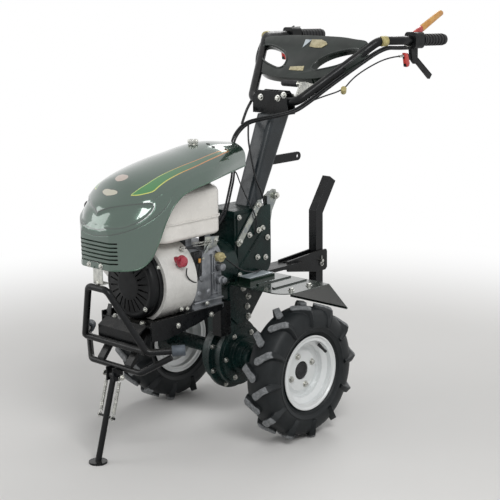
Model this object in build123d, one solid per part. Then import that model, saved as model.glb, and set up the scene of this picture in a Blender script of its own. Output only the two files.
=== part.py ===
"""Two-wheel walk-behind tractor with lugged drive tyres, in millimetres.

The machine stands on Z = 0 with its wheel axle over Y = 0.
X points to its left side, -Y to its front and +Z up. Left pieces are mirrored to the right.
"""
from build123d import *
from functools import cache
import math
import os

# Fits
seat_gap = 0.3
pin_gap = 0.3
swing_gap = 5.0

# Drive wheels
wheel_centre_x = 285.0
tyre_outer_dia = 416.0
tyre_section = 106.0
lug_height = 12.0
lugs_per_side = 13
lug_width = 17.0
tyre_wall = 9.0
bead_dia = 203.0
bead_half_width = 38.0
rim_flange_dia = 230.0
rim_wall = 3.0
rim_well_depth = 17.0
disc_hole_dia = 57.0
stud_circle_dia = 100.0
stud_count = 4
stud_hole_dia = 12.0
hub_flange_dia = 124.0
hub_flange_wall = 8.0
hub_sleeve_dia = 46.0
axle_flats = 28.0

# Final drive case
case_flange_dia = 226.0
case_half_length = 95.0
case_steps = ((6.0, case_flange_dia), (38.0, 196.0), (46.0, 180.0), (60.0, 120.0), (78.0, 90.0),
              (case_half_length, 72.0))
case_bore_depth = 40.0
leg_half_width = 45.0
leg_front_y = -64.0
leg_rear_y = 16.0
leg_flange_wall = 12.0

# Gearbox
gearbox_half_width = 60.0
gearbox_front_y = -45.0
gearbox_rear_y = 118.0
gearbox_bottom_z = 455.0
gearbox_top_z = 675.0
gearbox_corner = 45.0
gearbox_cover_wall = 4.0

# Engine
crank_z = 508.0
base_to_crank = 106.0
crankcase_half_width = 95.0
crankcase_front_y = -262.0
crankcase_rear_y = -140.0
crankcase_height = 198.0
engine_foot = 15.0
bell_front_dia = 176.0
bell_rear_dia = 150.0
shroud_dia = 236.0
shroud_front_y = -385.0
recoil_dia = 204.0
recoil_depth = 45.0
recoil_slots = 22
cylinder_lean = 25.0
bore_block_dia = 96.0
fin_count = 7
fin_pitch = 11.0
fin_wall = 4.0
fin_size = 124.0
head_size = 108.0
tank_width = 188.0
tank_length = 250.0
tank_bottom_z = 630.0
tank_height = 148.0
tank_corner = 38.0
tank_centre_x = 4.0
tank_centre_y = -253.0
tank_cap_dia = 64.0
tank_cap_height = 18.0
muffler_size = (126.0, 112.0, 84.0)
muffler_centre = (-203.0, -178.0, 690.0)
cleaner_size = (130.0, 118.0, 92.0)
cleaner_centre = (-200.0, -322.0)
switch_dia = 34.0

# Engine tray
tray_half_width = 110.0
tray_wall = 5.0
tray_front_y = -440.0
tray_rear_y = -150.0
tray_skirt_bottom_z = 358.0
tray_skirt_top_z = 415.0
tray_lip_top_z = 383.0
tray_lip_bottom_z = 345.0
channel_sides_x = (22.0, 58.0)
channel_wall = 5.0

# Bumper and stand
bumper_tube_dia = 20.0
lower_tube_dia = 18.0
bumper_bend = 24.0
bumper_shoulder = (40.0, -543.0, 520.0)
bumper_corner = (136.0, -484.0, 342.0)
bumper_wing_end = (205.0, -405.0, 346.0)
wing_cap_dia = 30.0
wing_cap_length = 32.0
lower_corner = (109.0, -485.0, 276.0)
lower_wing_end = (182.0, -431.0, 326.0)
stay_x = 60.0
stay_width = 26.0
stand_pivot_y = -494.0
stand_pivot_z = 250.0
stand_foot_y = -564.0
stand_tube_dia = 18.0
stand_foot_dia = 54.0
stand_foot_wall = 6.0
stand_eye_dia = 24.0
stand_eye_length = 22.0
stand_pin_dia = 8.0
spring_x = 28.0
spring_dia = 12.0
spring_reach = 0.47

# Hood: station, half width, shoulder radius and top height
hood_stations = ((-576.0, 62.0, 36.0, 722.0), (-562.0, 100.0, 56.0, 760.0), (-530.0, 126.0, 76.0, 787.0),
                 (-470.0, 148.0, 94.0, 813.0), (-380.0, 151.0, 100.0, 840.0), (-260.0, 142.0, 98.0, 866.0),
                 (-110.0, 104.0, 72.0, 882.0), (6.0, 62.0, 44.0, 878.0))
hood_bottom_z = 590.0
hood_wall = 3.0
hood_edge = ((-560.0, 590.0), (-484.0, 606.0), (-436.0, 655.0), (-400.0, 722.0), (-372.0, 748.0), (-320.0, 778.0),
             (-230.0, 800.0), (-127.0, 818.0), (6.0, 812.0))
louvre_count = 6
louvre_pitch = 15.0
louvre_height = 6.0
louvre_bottom_z = 612.0
louvre_half_width = 70.0
knob_y = -155.0
knob_dia = 34.0

# Column and handlebar
column_width = 70.0
column_foot_depth = 60.0
column_head_depth = 92.0
column_foot = (78.0, gearbox_top_z)
column_head = (201.0, 950.0)
clamp_half_width = 73.0
clamp_wall = 5.0
clamp_height = 72.0
handle_tube_dia = 28.0
handle_pivot_y = 202.0
handle_pivot_z = 990.0
handle_knee = (95.0, handle_pivot_y, handle_pivot_z)
handle_shoulder = (241.0, 428.0, 1173.0)
handle_turn = (263.0, 520.0, 1170.0)
handle_end = (263.0, 737.0, 1162.0)
handle_bends = (42.0, 60.0, 60.0)
grip_dia = 39.0
grip_length = 124.0
panel_lower = (313.0, 1069.0)
panel_upper = (422.0, 1170.0)
panel_wall = 26.0

# Fenders
fender_inner_x = 62.0
fender_outer_x = 300.0
fender_front_y = -80.0
fender_bend_y = 117.0
fender_tail = (205.0, 363.0)
fender_z = 455.0
fender_wall = 3.0
fender_corner = 60.0

# Hitch
hitch_half_width = 35.0
hitch_plate_z = 443.0
hitch_rear_y = 300.0
hitch_hole_dia = 18.0
hitch_hole_y = 248.0
clevis_wall = 6.0
clevis_rear_y = 436.0
drag_half_width = 16.0
drag_depth = 34.0
drag_centre_y = 404.0
drag_bottom_z = 300.0
drag_bend_z = 603.0
drag_top = (472.0, 707.0)
hitch_pin_dia = 10.0
hitch_pin_z = 440.0

axle_z = tyre_outer_dia / 2
hoop_bar_y = bumper_corner[1] + 1
tray_lip_y = hoop_bar_y + bumper_tube_dia / 2 + seat_gap
crown_r = axle_z - lug_height
bead_r = bead_dia / 2
rim_seat_r = bead_r - seat_gap


def face_of(path):
    """Closed face from points; a row of four numbers is an arc through the first two."""
    edges = []
    start = path[0][-2:]
    for step in list(path[1:]) + [path[0]]:
        end = step[-2:]
        if len(step) == 4:
            edges.append(ThreePointArc(start, step[:2], end))
        else:
            edges.append(Line(start, end))
        start = end
    return make_face(edges)


def turned(path):
    """Solid of revolution about the X axis from (x, radius) points."""
    return revolve(Plane.XZ * face_of(path), Axis.X)


def side_plate(path, x_from, x_to):
    """Plate with a (Y, Z) outline between two X planes."""
    return extrude(Plane.YZ.offset(x_from) * face_of(path), x_to - x_from)


def front_plate(path, y_from, y_to):
    """Plate with an (X, Z) outline between two Y planes."""
    return extrude(Plane.XZ.offset(-y_from) * face_of(path), y_from - y_to)


def block(x, y, z):
    """Box from three (low, high) pairs."""
    size = [high - low for low, high in (x, y, z)]
    centre = [(high + low) / 2 for low, high in (x, y, z)]
    return Pos(*centre) * Box(*size)


def rod(start, end, dia):
    """Round bar between two points."""
    start, end = Vector(*start), Vector(*end)
    return extrude(Plane(start, z_dir=end - start) * Circle(dia / 2), (end - start).length)


def cross_rod(x_from, x_to, y, z, dia):
    """Round bar along X."""
    return rod((x_from, y, z), (x_to, y, z), dia)


def bent_bar(points, bends, dia):
    """Bar along straight runs joined by tangent bends, one radius for each corner."""
    path = FilletPolyline(*points, radius=list(bends))
    return sweep(Plane(path @ 0, z_dir=path % 0) * Circle(dia / 2), path=path)


def right_of(piece):
    """The right-hand twin of a left piece."""
    return mirror(piece, about=Plane.YZ)


def flip(point):
    """The right-hand twin of a point."""
    return (-point[0], point[1], point[2])


@cache
def tyre():
    """Carcass with two staggered rows of curved lugs, hollow and open at the beads."""
    half = tyre_section / 2
    lip_r = rim_flange_dia / 2 + 4
    middle_r = (crown_r + lip_r) / 2 - 6
    shoulder = half - 9
    shoulder_r = crown_r - 12
    carcass = turned([(-bead_half_width, bead_r), (-bead_half_width, lip_r),
                      (-half, middle_r, -shoulder, shoulder_r), (0, crown_r, shoulder, shoulder_r),
                      (half, middle_r, bead_half_width, lip_r), (bead_half_width, bead_r)])
    toe = bead_half_width - tyre_wall
    cavity = turned([(-toe, bead_r - tyre_wall), (-toe, lip_r),
                     (tyre_wall - half, middle_r, tyre_wall - shoulder, shoulder_r - tyre_wall),
                     (0, crown_r - tyre_wall, shoulder - tyre_wall, shoulder_r - tyre_wall),
                     (half - tyre_wall, middle_r, toe, lip_r), (toe, bead_r - tyre_wall)])
    foot_r = middle_r
    tread_edge = half - 15
    limit = turned([(0, foot_r), (0, axle_z), (tread_edge, axle_z), (half - 1, axle_z - 14), (half + 4, middle_r + 22),
                    (half + 4, foot_r)])
    bar = face_of([(2, lug_width / 2), (16, 14), (36, 27), (half + 6, 42), (half + 6, 42 - 1.2 * lug_width),
                   (42, 10), (22, -4), (8, -lug_width * 0.6), (0.5, -lug_width * 0.5)])
    lug = extrude(Plane.XY.offset(foot_r) * bar, axle_z - foot_r + lug_height) & limit
    pitch = 360 / lugs_per_side
    left_row = [Rot(X=180 + step * pitch) * lug for step in range(lugs_per_side)]
    right_row = [Rot(X=pitch / 2) * right_of(one) for one in left_row]
    return (carcass + left_row + right_row) - cavity


def rim():
    """Drop-centre rim with its pressed disc, centre hole and stud holes."""
    flange_r = rim_flange_dia / 2
    seat = rim_seat_r
    well = seat - rim_well_depth
    face = bead_half_width + seat_gap
    edge = face + 7
    tyre_side = [(-edge, flange_r), (-edge + 3, flange_r), (-face, flange_r - 6), (-face, seat), (-24, seat),
                 (-16, well), (16, well), (24, seat), (face, seat), (face, flange_r - 6), (edge - 3, flange_r),
                 (edge, flange_r)]
    inner_side = [(edge, flange_r - 4), (face + rim_wall, flange_r - 8), (face + rim_wall, seat - rim_wall),
                  (26, seat - rim_wall), (18, well - rim_wall), (2, well - rim_wall), (2, well - 12), (7, well - 22),
                  (7, disc_hole_dia / 2), (3, disc_hole_dia / 2), (3, well - 21), (-2, well - 11),
                  (-2, well - rim_wall), (-18, well - rim_wall), (-26, seat - rim_wall),
                  (-face - rim_wall, seat - rim_wall), (-face - rim_wall, flange_r - 8), (-edge, flange_r - 4)]
    body = turned(tyre_side + inner_side)
    return body - stud_ring(stud_hole_dia, 20)


def stud_ring(dia, length):
    """Cylinders on the stud circle, through the disc."""
    turn = 360 / stud_count
    spot = stud_circle_dia / 2
    return [Rot(X=20 + step * turn) * Pos(0, 0, spot) * Rot(Y=90) * Cylinder(dia / 2, length)
            for step in range(stud_count)]


def hub():
    """Flange behind the disc with the long sleeve over the axle."""
    sleeve_end = case_half_length + swing_gap - wheel_centre_x
    flange_face = 3 - seat_gap
    body = turned([(sleeve_end, 0), (sleeve_end, hub_sleeve_dia / 2), (flange_face - hub_flange_wall - 12, hub_sleeve_dia / 2),
                   (flange_face - hub_flange_wall, hub_sleeve_dia / 2 + 8),
                   (flange_face - hub_flange_wall, hub_flange_dia / 2), (flange_face, hub_flange_dia / 2),
                   (flange_face, 0)])
    socket = Pos(sleeve_end, 0, 0) * hexagon_bar(axle_flats + 2 * seat_gap, flange_face - sleeve_end)
    return body - socket


def hexagon_bar(flats, length):
    """Hexagonal bar along +X from the origin."""
    return extrude(Plane.YZ * RegularPolygon(flats / 2, 6, major_radius=False), length)


def axle():
    """Hexagonal half axle from inside the case to the disc."""
    start = case_half_length - case_bore_depth + 2 * seat_gap
    return Pos(start - wheel_centre_x, 0, 0) * hexagon_bar(axle_flats, wheel_centre_x - start + 6)


def on_wheel(piece):
    """A wheel piece at its place on the left side."""
    return Pos(wheel_centre_x, 0, axle_z) * piece


@cache
def gear_case():
    """Final drive: stepped round case on the axle with the leg above it."""
    drum = [Pos(0, 0, axle_z) * Rot(Y=90) * Cylinder(dia / 2, 2 * half) for half, dia in case_steps]
    leg = block((-leg_half_width, leg_half_width), (leg_front_y, leg_rear_y), (axle_z, gearbox_bottom_z))
    flange = block((-leg_flange_wall / 2, leg_flange_wall / 2),
                   (leg_front_y - 9, leg_rear_y + 9), (axle_z, gearbox_bottom_z))
    body = leg + drum + [flange]
    bore_dia = axle_flats / math.cos(math.pi / 6) + 2 * pin_gap
    length = case_bore_depth + seat_gap
    bores = [Pos(side * (case_half_length - case_bore_depth / 2), 0, axle_z) * Rot(Y=90)
             * Cylinder(bore_dia / 2, length) for side in (-1, 1)]
    return body - bores


@cache
def fender_bracket():
    """Angle plate on the side of the leg that carries the fender."""
    reach = leg_half_width + 58
    web = side_plate([(-60, fender_z), (gearbox_rear_y - 4, fender_z), (gearbox_rear_y - 4, 425), (17, 313),
                      (-26, 313), (-60, 345)], leg_half_width, leg_half_width + 6)
    shelf = block((leg_half_width + 6, reach), (gearbox_front_y - 15, gearbox_rear_y - 4), (fender_z - 5, fender_z))
    link = block((leg_half_width + 6, leg_half_width + 12), (gearbox_front_y - 15, gearbox_rear_y - 4), (fender_z - 15, fender_z - 5))
    return (web + [shelf, link]) - gearbox() - gear_case()


@cache
def gearbox():
    """Upper gearbox housing with raised covers and a joint flange round its middle."""
    low, high = gearbox_bottom_z, gearbox_top_z
    bend = gearbox_corner * (1 - math.sqrt(0.5))
    outline = [(gearbox_front_y, low), (gearbox_rear_y - gearbox_corner, low),
               (gearbox_rear_y - bend, low + bend, gearbox_rear_y, low + gearbox_corner),
               (gearbox_rear_y, high), (gearbox_front_y, high)]
    body = side_plate(outline, -gearbox_half_width, gearbox_half_width)
    cover_outline = [(gearbox_front_y + 10, low + 10), (70, low + 10), (108, low + 50), (108, high - 50),
                     (60, high - 12), (gearbox_front_y + 10, high - 12)]
    cover = side_plate(cover_outline, gearbox_half_width, gearbox_half_width + gearbox_cover_wall)
    rib = side_plate([(gearbox_front_y + 12, low + 40), (80, high - 70), (86, high - 76), (gearbox_front_y + 12, low + 30)],
                     gearbox_half_width, gearbox_half_width + 2 * gearbox_cover_wall)
    return body + [cover, rib, right_of(cover)]


@cache
def bell_housing():
    """Cone between the engine and the gearbox."""
    front = Plane.XZ.offset(-crankcase_rear_y) * Pos(0, crank_z) * Circle(bell_front_dia / 2)
    rear = Plane.XZ.offset(-gearbox_front_y) * Pos(0, crank_z) * Circle(bell_rear_dia / 2)
    cone = loft([front.face(), rear.face()], ruled=True)
    return cone - gear_case() - fender_bracket() - right_of(fender_bracket())


@cache
def crankcase():
    """Engine block with its base flange and the two stays of the tank."""
    base = crank_z - base_to_crank
    half = crankcase_half_width
    top = base + crankcase_height
    outline = [(-half, base + engine_foot), (half, base + engine_foot), (half, top - 45), (half - 12, top - 12, half - 45, top),
               (45 - half, top), (12 - half, top - 12, -half, top - 45)]
    body = front_plate(outline, crankcase_front_y, crankcase_rear_y)
    foot = block((-half - 8, half + 8), (crankcase_front_y, crankcase_rear_y), (base, base + engine_foot))
    stays = [block((x - 12, x + 12), (y - 12, y + 12), (top - 20, tank_bottom_z))
             for x in (-40, 48) for y in (crankcase_front_y + 22, crankcase_rear_y - 22)]
    return body + [foot] + stays


def tilted_frame():
    """Frame of the cylinder bore: its Z runs from the crank out through the head."""
    lean = math.radians(cylinder_lean)
    middle_y = (crankcase_front_y + crankcase_rear_y) / 2
    return Plane((0, middle_y, crank_z), x_dir=(0, 1, 0), z_dir=(-math.cos(lean), 0, math.sin(lean)))


@cache
def cylinder():
    """Finned barrel and head, leaning to the right side."""
    frame = tilted_frame()
    start = 60
    barrel = extrude(frame.offset(start) * Circle(bore_block_dia / 2), 130)
    fins = [extrude(frame.offset(start + 44 + step * fin_pitch) * RectangleRounded(fin_size - 6, fin_size, 14), fin_wall)
            for step in range(fin_count)]
    head_from = start + 44 + fin_count * fin_pitch
    head = extrude(frame.offset(head_from - 4) * RectangleRounded(head_size, head_size, 16), 30)
    cover = extrude(frame.offset(head_from + 24) * RectangleRounded(head_size - 26, head_size - 22, 18), 20)
    return (barrel + fins + [head, cover]) - crankcase()


@cache
def fan_shroud():
    """Fan housing with its duct over the cylinder."""
    round_part = rod((0, crankcase_front_y, crank_z), (0, shroud_front_y, crank_z), shroud_dia)
    top = crank_z + shroud_dia / 2
    duct = front_plate([(0, top), (-178, top), (-208, top - 12, -216, top - 44), (-186, crank_z + 4), (-20, crank_z - 114)],
                       shroud_front_y + 18, crankcase_front_y)
    under = block((-shroud_dia, shroud_dia), (shroud_front_y - 1, crankcase_front_y + 1),
                  (crank_z - shroud_dia, crank_z - base_to_crank + 2))
    return (round_part + [duct]) - under


def recoil_cover():
    """Starter cover with a ring of air slots."""
    outer = recoil_dia / 2
    cup = Pos(0, shroud_front_y, crank_z) * Rot(X=90) * revolve(
        Plane.XZ * face_of([(0, 0), (outer, 0), (outer, recoil_depth * 0.55), (outer - 4, recoil_depth * 0.8, outer - 16, recoil_depth * 0.86),
                            (40, recoil_depth), (0, recoil_depth)]), Axis.Z)
    slot = Pos(0, shroud_front_y - recoil_depth + 3, crank_z)
    slots = [slot * Rot(Y=step * 360 / recoil_slots) * Pos(0, 0, outer * 0.62) * Box(4.5, 12, outer * 0.36)
             for step in range(recoil_slots)]
    return cup - slots


def fuel_tank():
    """Two pressed halves with a seam flange, and the filler neck."""
    place = Pos(tank_centre_x, tank_centre_y, tank_bottom_z)
    body = extrude(RectangleRounded(tank_width, tank_length, tank_corner), tank_height)
    body = fillet(body.edges().group_by(Axis.Z)[-1], 26)
    body = fillet(body.edges().group_by(Axis.Z)[0], 12)
    seam = Pos(0, 0, 52) * extrude(RectangleRounded(tank_width + 8, tank_length + 8, tank_corner + 4), 4)
    return place * (body + seam)


def tank_cap():
    """Round filler cap with grip flats."""
    cap = extrude(Circle(tank_cap_dia / 2), tank_cap_height)
    notches = [Rot(Z=step * 45) * Pos(tank_cap_dia / 2 + 3, 0, tank_cap_height / 2 + 3) * Cylinder(7, tank_cap_height)
               for step in range(8)]
    return Pos(tank_centre_x, tank_centre_y, tank_bottom_z + tank_height) * (cap - notches)


def rounded_box(size, centre, corner):
    """Box with all upright and top edges rounded."""
    body = extrude(RectangleRounded(size[0], size[1], corner), size[2])
    body = fillet(body.edges().group_by(Axis.Z)[-1], corner * 0.5)
    return Pos(centre[0], centre[1], centre[2] - size[2] / 2) * body


def muffler():
    """Exhaust box over the head with its pipe down to the port."""
    box = rounded_box(muffler_size, muffler_centre, 22)
    low = muffler_centre[2] - muffler_size[2] / 2
    pipe = rod((muffler_centre[0] + 15, muffler_centre[1], low - 60), (muffler_centre[0] + 15, muffler_centre[1], low + 5), 30)
    outlet = rod((muffler_centre[0] - 30, muffler_centre[1], muffler_centre[2]),
                 (muffler_centre[0] - 30, muffler_centre[1] + muffler_size[1] / 2 + 16, muffler_centre[2]), 24)
    return (box + [pipe, outlet]) - cylinder()


def air_cleaner():
    """Air cleaner case on the duct."""
    low = crank_z + shroud_dia / 2 + seat_gap
    box = rounded_box(cleaner_size, (*cleaner_centre, low + cleaner_size[2] / 2), 30)
    knob = Pos(*cleaner_centre, low + cleaner_size[2]) * Cylinder(11, 24)
    return box + [knob]


def stop_switch():
    """Round switch on a small box on the side of the fan shroud."""
    y, z = -322.0, crank_z + 68.0
    base = block((88, 112), (y - 20, y + 20), (z - 22, z + 22)) - fan_shroud()
    button = cross_rod(112, 127, y, z, switch_dia)
    return base + [button]


@cache
def engine_tray():
    """Pressed tray under the engine with side skirts and a sloped front lip."""
    top = crank_z - base_to_crank
    low = top - tray_wall
    half = tray_half_width
    deck = block((-half, half), (tray_front_y, tray_rear_y), (low, top))
    skirt = side_plate([(tray_front_y, tray_skirt_bottom_z), (tray_front_y + 60, tray_skirt_bottom_z - 4),
                        (-260, tray_skirt_bottom_z + 16), (tray_rear_y, top - 2), (tray_rear_y, tray_skirt_top_z),
                        (tray_front_y, tray_skirt_top_z)], half - tray_wall, half)
    slope = side_plate([(tray_front_y, top), (tray_lip_y, tray_lip_top_z), (tray_lip_y, tray_lip_bottom_z),
                        (tray_lip_y + tray_wall, tray_lip_bottom_z), (tray_lip_y + tray_wall, tray_lip_top_z - 3),
                        (tray_front_y, low)], 22 - half, half - 22)
    return deck + [skirt, right_of(skirt), slope]


def tray_channel():
    """Upright channel that ties the tray to the leg."""
    inner, outer = channel_sides_x
    low = 292.0
    top = crank_z - base_to_crank - tray_wall
    back = leg_front_y - seat_gap
    front = back - 44
    face = block(channel_sides_x, (front, front + channel_wall), (low, top - channel_wall))
    sides = [block(x, (front + channel_wall, back), (low, top - channel_wall))
             for x in ((inner, inner + channel_wall), (outer - channel_wall, outer))]
    head = block(channel_sides_x, (tray_rear_y - 40, back), (top - channel_wall, top))
    return face + sides + [head]


@cache
def bumper_upper():
    """Front hoop with its cross bar and two swept wings with caps."""
    left = [bumper_shoulder, bumper_corner, bumper_wing_end]
    points = [flip(point) for point in reversed(left)] + left
    hoop = bent_bar(points, (bumper_bend, bumper_bend, bumper_bend, bumper_bend), bumper_tube_dia)
    bar = cross_rod(6 - bumper_corner[0], bumper_corner[0] - 6, hoop_bar_y, bumper_corner[2] + 1, bumper_tube_dia)
    start, end = Vector(*bumper_corner), Vector(*bumper_wing_end)
    along = (end - start).normalized()
    cap = rod(end - along * wing_cap_length, end + along * 4, wing_cap_dia)
    return hoop + [bar, cap, right_of(cap)]


@cache
def bumper_lower():
    """Lower bar with its ends rising under the wings."""
    left = [lower_corner, lower_wing_end]
    points = [flip(point) for point in reversed(left)] + left
    return bent_bar(points, (bumper_bend, bumper_bend), lower_tube_dia) - bumper_upper()


def bumper_stay():
    """Flat strap from the lower bar up to the tray."""
    deck = crank_z - base_to_crank - tray_wall
    drop = 9.0
    strap = side_plate([(lower_corner[1] - 6, lower_corner[2] + drop), (lower_corner[1] + 4, lower_corner[2] + drop),
                        (-396, deck - 8), (-370, deck - 8), (-370, deck), (-402, deck), (lower_corner[1] - 6, lower_corner[2] + 16)],
                       stay_x - stay_width / 2, stay_x + stay_width / 2)
    return strap - bumper_lower()


def stand_bracket():
    """Fork under the lower bar that holds the stand pin."""
    gap = stand_eye_length / 2 + 0.6
    top = lower_corner[2]
    cheeks = [block((x, x + 5), (stand_pivot_y - 15, stand_pivot_y + 22), (stand_pivot_z - 15, top)) for x in (gap, -gap - 5)]
    bridge_low = stand_pivot_z + stand_tube_dia / 2 + swing_gap
    bridge = block((-gap - 5, gap + 5), (stand_pivot_y + 14, stand_pivot_y + 22), (bridge_low, top))
    pin = cross_rod(-spring_x - 10, spring_x + 10, stand_pivot_y, stand_pivot_z, stand_pin_dia)
    return (cheeks[0] + [cheeks[1], bridge]) - bumper_lower() + pin


def stand_leg():
    """Swinging front stand with its eye and round foot."""
    eye = cross_rod(-stand_eye_length / 2, stand_eye_length / 2, stand_pivot_y, stand_pivot_z, stand_eye_dia)
    leg = rod((0, stand_pivot_y, stand_pivot_z), (0, stand_foot_y, stand_foot_wall / 2), stand_tube_dia)
    foot = Pos(0, stand_foot_y, stand_foot_wall / 2) * Cylinder(stand_foot_dia / 2, stand_foot_wall)
    hanger_y, hanger_z = spring_foot()
    hanger = cross_rod(-spring_x - 8, spring_x + 8, hanger_y, hanger_z, 7)
    below = block((-60, 60), (stand_foot_y - 60, stand_foot_y + 60), (-60, 0))
    body = (leg + [eye, foot, hanger]) - below
    return body - cross_rod(-40, 40, stand_pivot_y, stand_pivot_z, stand_pin_dia + 2 * pin_gap)


def spring_foot():
    """Place on the leg where the springs are hooked."""
    y = stand_pivot_y + (stand_foot_y - stand_pivot_y) * spring_reach
    z = stand_pivot_z * (1 - spring_reach)
    return y, z


def stand_springs():
    """Two return springs beside the leg, hooked over the pivot pin and the hanger."""
    foot_y, foot_z = spring_foot()
    top = Vector(0, stand_pivot_y, stand_pivot_z)
    foot = Vector(0, foot_y, foot_z)
    along = (foot - top).normalized()
    springs = []
    for x in (-spring_x, spring_x):
        shift = Vector(x, 0, 0)
        coil = rod(top + shift + along * 10, foot + shift - along * 9, spring_dia)
        top_eye = cross_rod(x - 3, x + 3, stand_pivot_y, stand_pivot_z, 22) - cross_rod(
            x - 4, x + 4, stand_pivot_y, stand_pivot_z, stand_pin_dia + 2 * pin_gap)
        foot_eye = cross_rod(x - 3, x + 3, foot_y, foot_z, 20) - cross_rod(x - 4, x + 4, foot_y, foot_z, 7 + 2 * pin_gap)
        springs.append((coil + [top_eye, foot_eye]) - cross_rod(x - 8, x + 8, stand_pivot_y, stand_pivot_z, stand_pin_dia + 2 * pin_gap)
                       - cross_rod(x - 8, x + 8, foot_y, foot_z, 7 + 2 * pin_gap))
    return Compound(children=springs)


def hood_section(station, inset):
    """Arch outline of the hood at one station, drawn in by the inset."""
    y, half, shoulder, top = station
    half, shoulder, top = half - inset, shoulder - inset, top - inset
    crown_half = half - shoulder / 2
    spring = top - shoulder * math.sin(math.pi / 3) - crown_half * (2 - math.sqrt(3))
    centre = half - shoulder
    low = hood_bottom_z - 40 if inset else hood_bottom_z
    mid = (centre + shoulder * math.cos(math.pi / 6), spring + shoulder / 2)
    crown = (crown_half, spring + shoulder * math.sin(math.pi / 3))
    return Plane.XZ.offset(-y) * face_of([
        (half * 0.97, low), (half, spring), (mid[0], mid[1], crown[0], crown[1]), (0, top, -crown[0], crown[1]),
        (-mid[0], mid[1], -half, spring), (-half * 0.97, low)])


@cache
def hood():
    """Pressed hood shell, open below and behind, with louvres in its nose."""
    outer = loft([hood_section(station, 0).face() for station in hood_stations])
    inner_rows = [(hood_stations[0][0] + hood_wall,) + hood_stations[0][1:]] + list(hood_stations[1:-1])
    inner_rows.append((hood_stations[-1][0] + 1,) + hood_stations[-1][1:])
    inner = loft([hood_section(station, hood_wall).face() for station in inner_rows])
    shell = outer - inner
    waste = [(y, z) for y, z in hood_edge] + [(60, 812), (60, 500), (-560, 500)]
    shell = shell - side_plate(waste, -200, 200)
    slots = [block((-louvre_half_width, louvre_half_width), (hood_stations[0][0] - 5, hood_stations[0][0] + 24),
                   (louvre_bottom_z + step * louvre_pitch, louvre_bottom_z + step * louvre_pitch + louvre_height))
             for step in range(louvre_count)]
    return shell - slots


@cache
def hood_knob():
    """Lobed knob on top of the hood."""
    z = 882.0
    stem = Pos(0, knob_y, z) * Cylinder(8, 16)
    lobes = [Pos(0, knob_y, z + 10) * Rot(Z=step * 72) * Pos(knob_dia / 2 - 6, 0, 0) * Cylinder(6, 9) for step in range(5)]
    centre = Pos(0, knob_y, z + 10) * Cylinder(knob_dia / 2 - 5, 9)
    return (stem + lobes + [centre]) - hood()


def hood_front_bracket():
    """Strap from the bumper top to the lower front edge of the hood."""
    wall = 3.0
    face = hood_stations[0][0] + hood_wall + seat_gap
    low = bumper_shoulder[2] + bumper_tube_dia / 2 + seat_gap
    plate = block((-20, 20), (face, face + wall), (low, hood_bottom_z + 14))
    foot = block((-20, 20), (face + wall, bumper_shoulder[1] + 10), (low, low + wall))
    return plate + foot


def hood_post():
    """Bent strap from the gearbox up to the knob under the hood."""
    z = 862.0
    upright = block((-20, 20), (-108, -104), (gearbox_top_z - 30, z))
    foot = block((-20, 20), (-108, gearbox_front_y), (gearbox_top_z - 34, gearbox_top_z - 30))
    arm = block((-20, 20), (knob_y - 16, -104), (z, z + 4))
    stud = (rod((0, knob_y, z), (0, knob_y, z + 40), 16) - hood()).solids().sort_by(Axis.Z)[0]
    return upright + [foot, arm, stud]


@cache
def column():
    """Steering column, narrow at the gearbox and deep at the head."""
    foot = Plane.XY.offset(column_foot[1]) * Pos(0, column_foot[0]) * RectangleRounded(column_width, column_foot_depth, 16)
    head = Plane.XY.offset(column_head[1]) * Pos(0, column_head[0]) * RectangleRounded(column_width, column_head_depth, 16)
    return loft([foot.face(), head.face()])


def column_arm():
    """Flat arm behind the column with a hole at its end."""
    bar = side_plate([(150, 792), (284, 792), (298, 806, 284, 820), (150, 820)], 22, 28)
    return bar - cross_rod(20, 30, 284, 806, 12) - column()


@cache
def clamp():
    """Two octagonal plates on a foot that hold the cross tube of the handlebar."""
    top = column_head[1] + clamp_height
    low = column_head[1]
    half = clamp_half_width
    inner = handle_tube_dia / 2 + pin_gap
    outline = [(-half, low), (half, low), (half, top - 22), (half - 22, top), (22 - half, top), (-half, top - 22)]
    front = front_plate(outline, handle_pivot_y - inner - clamp_wall, handle_pivot_y - inner)
    rear = front_plate(outline, handle_pivot_y + inner, handle_pivot_y + inner + clamp_wall)
    foot = block((-half, half), (handle_pivot_y - inner, handle_pivot_y + inner), (low, low + 5))
    bolts = [rod((x, handle_pivot_y - inner, z), (x, handle_pivot_y + inner, z), 8)
             for x, z in ((-50, top - 10), (50, top - 10))]
    return front + [rear, foot] + bolts


@cache
def handle_half():
    """Left half of the handlebar, from the middle of the cross run to the grip."""
    points = [(0, handle_pivot_y, handle_pivot_z), handle_knee, handle_shoulder, handle_turn, handle_end]
    return bent_bar(points, handle_bends, handle_tube_dia)


@cache
def grip():
    """Rubber sleeve with ribs and a closed end."""
    start, end = Vector(*handle_turn), Vector(*handle_end)
    along = (end - start).normalized()
    sleeve = rod(end - along * (grip_length - 4), end + along * 4, grip_dia - 4)
    ribs = [rod(end - along * (12 + step * 16), end - along * (6 + step * 16), grip_dia) for step in range(7)]
    collar = rod(end - along * (grip_length - 4), end - along * (grip_length - 9), grip_dia + 4)
    hole = rod(end - along * grip_length, end, handle_tube_dia + 2 * seat_gap)
    return (sleeve + ribs + [collar]) - hole


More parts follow.
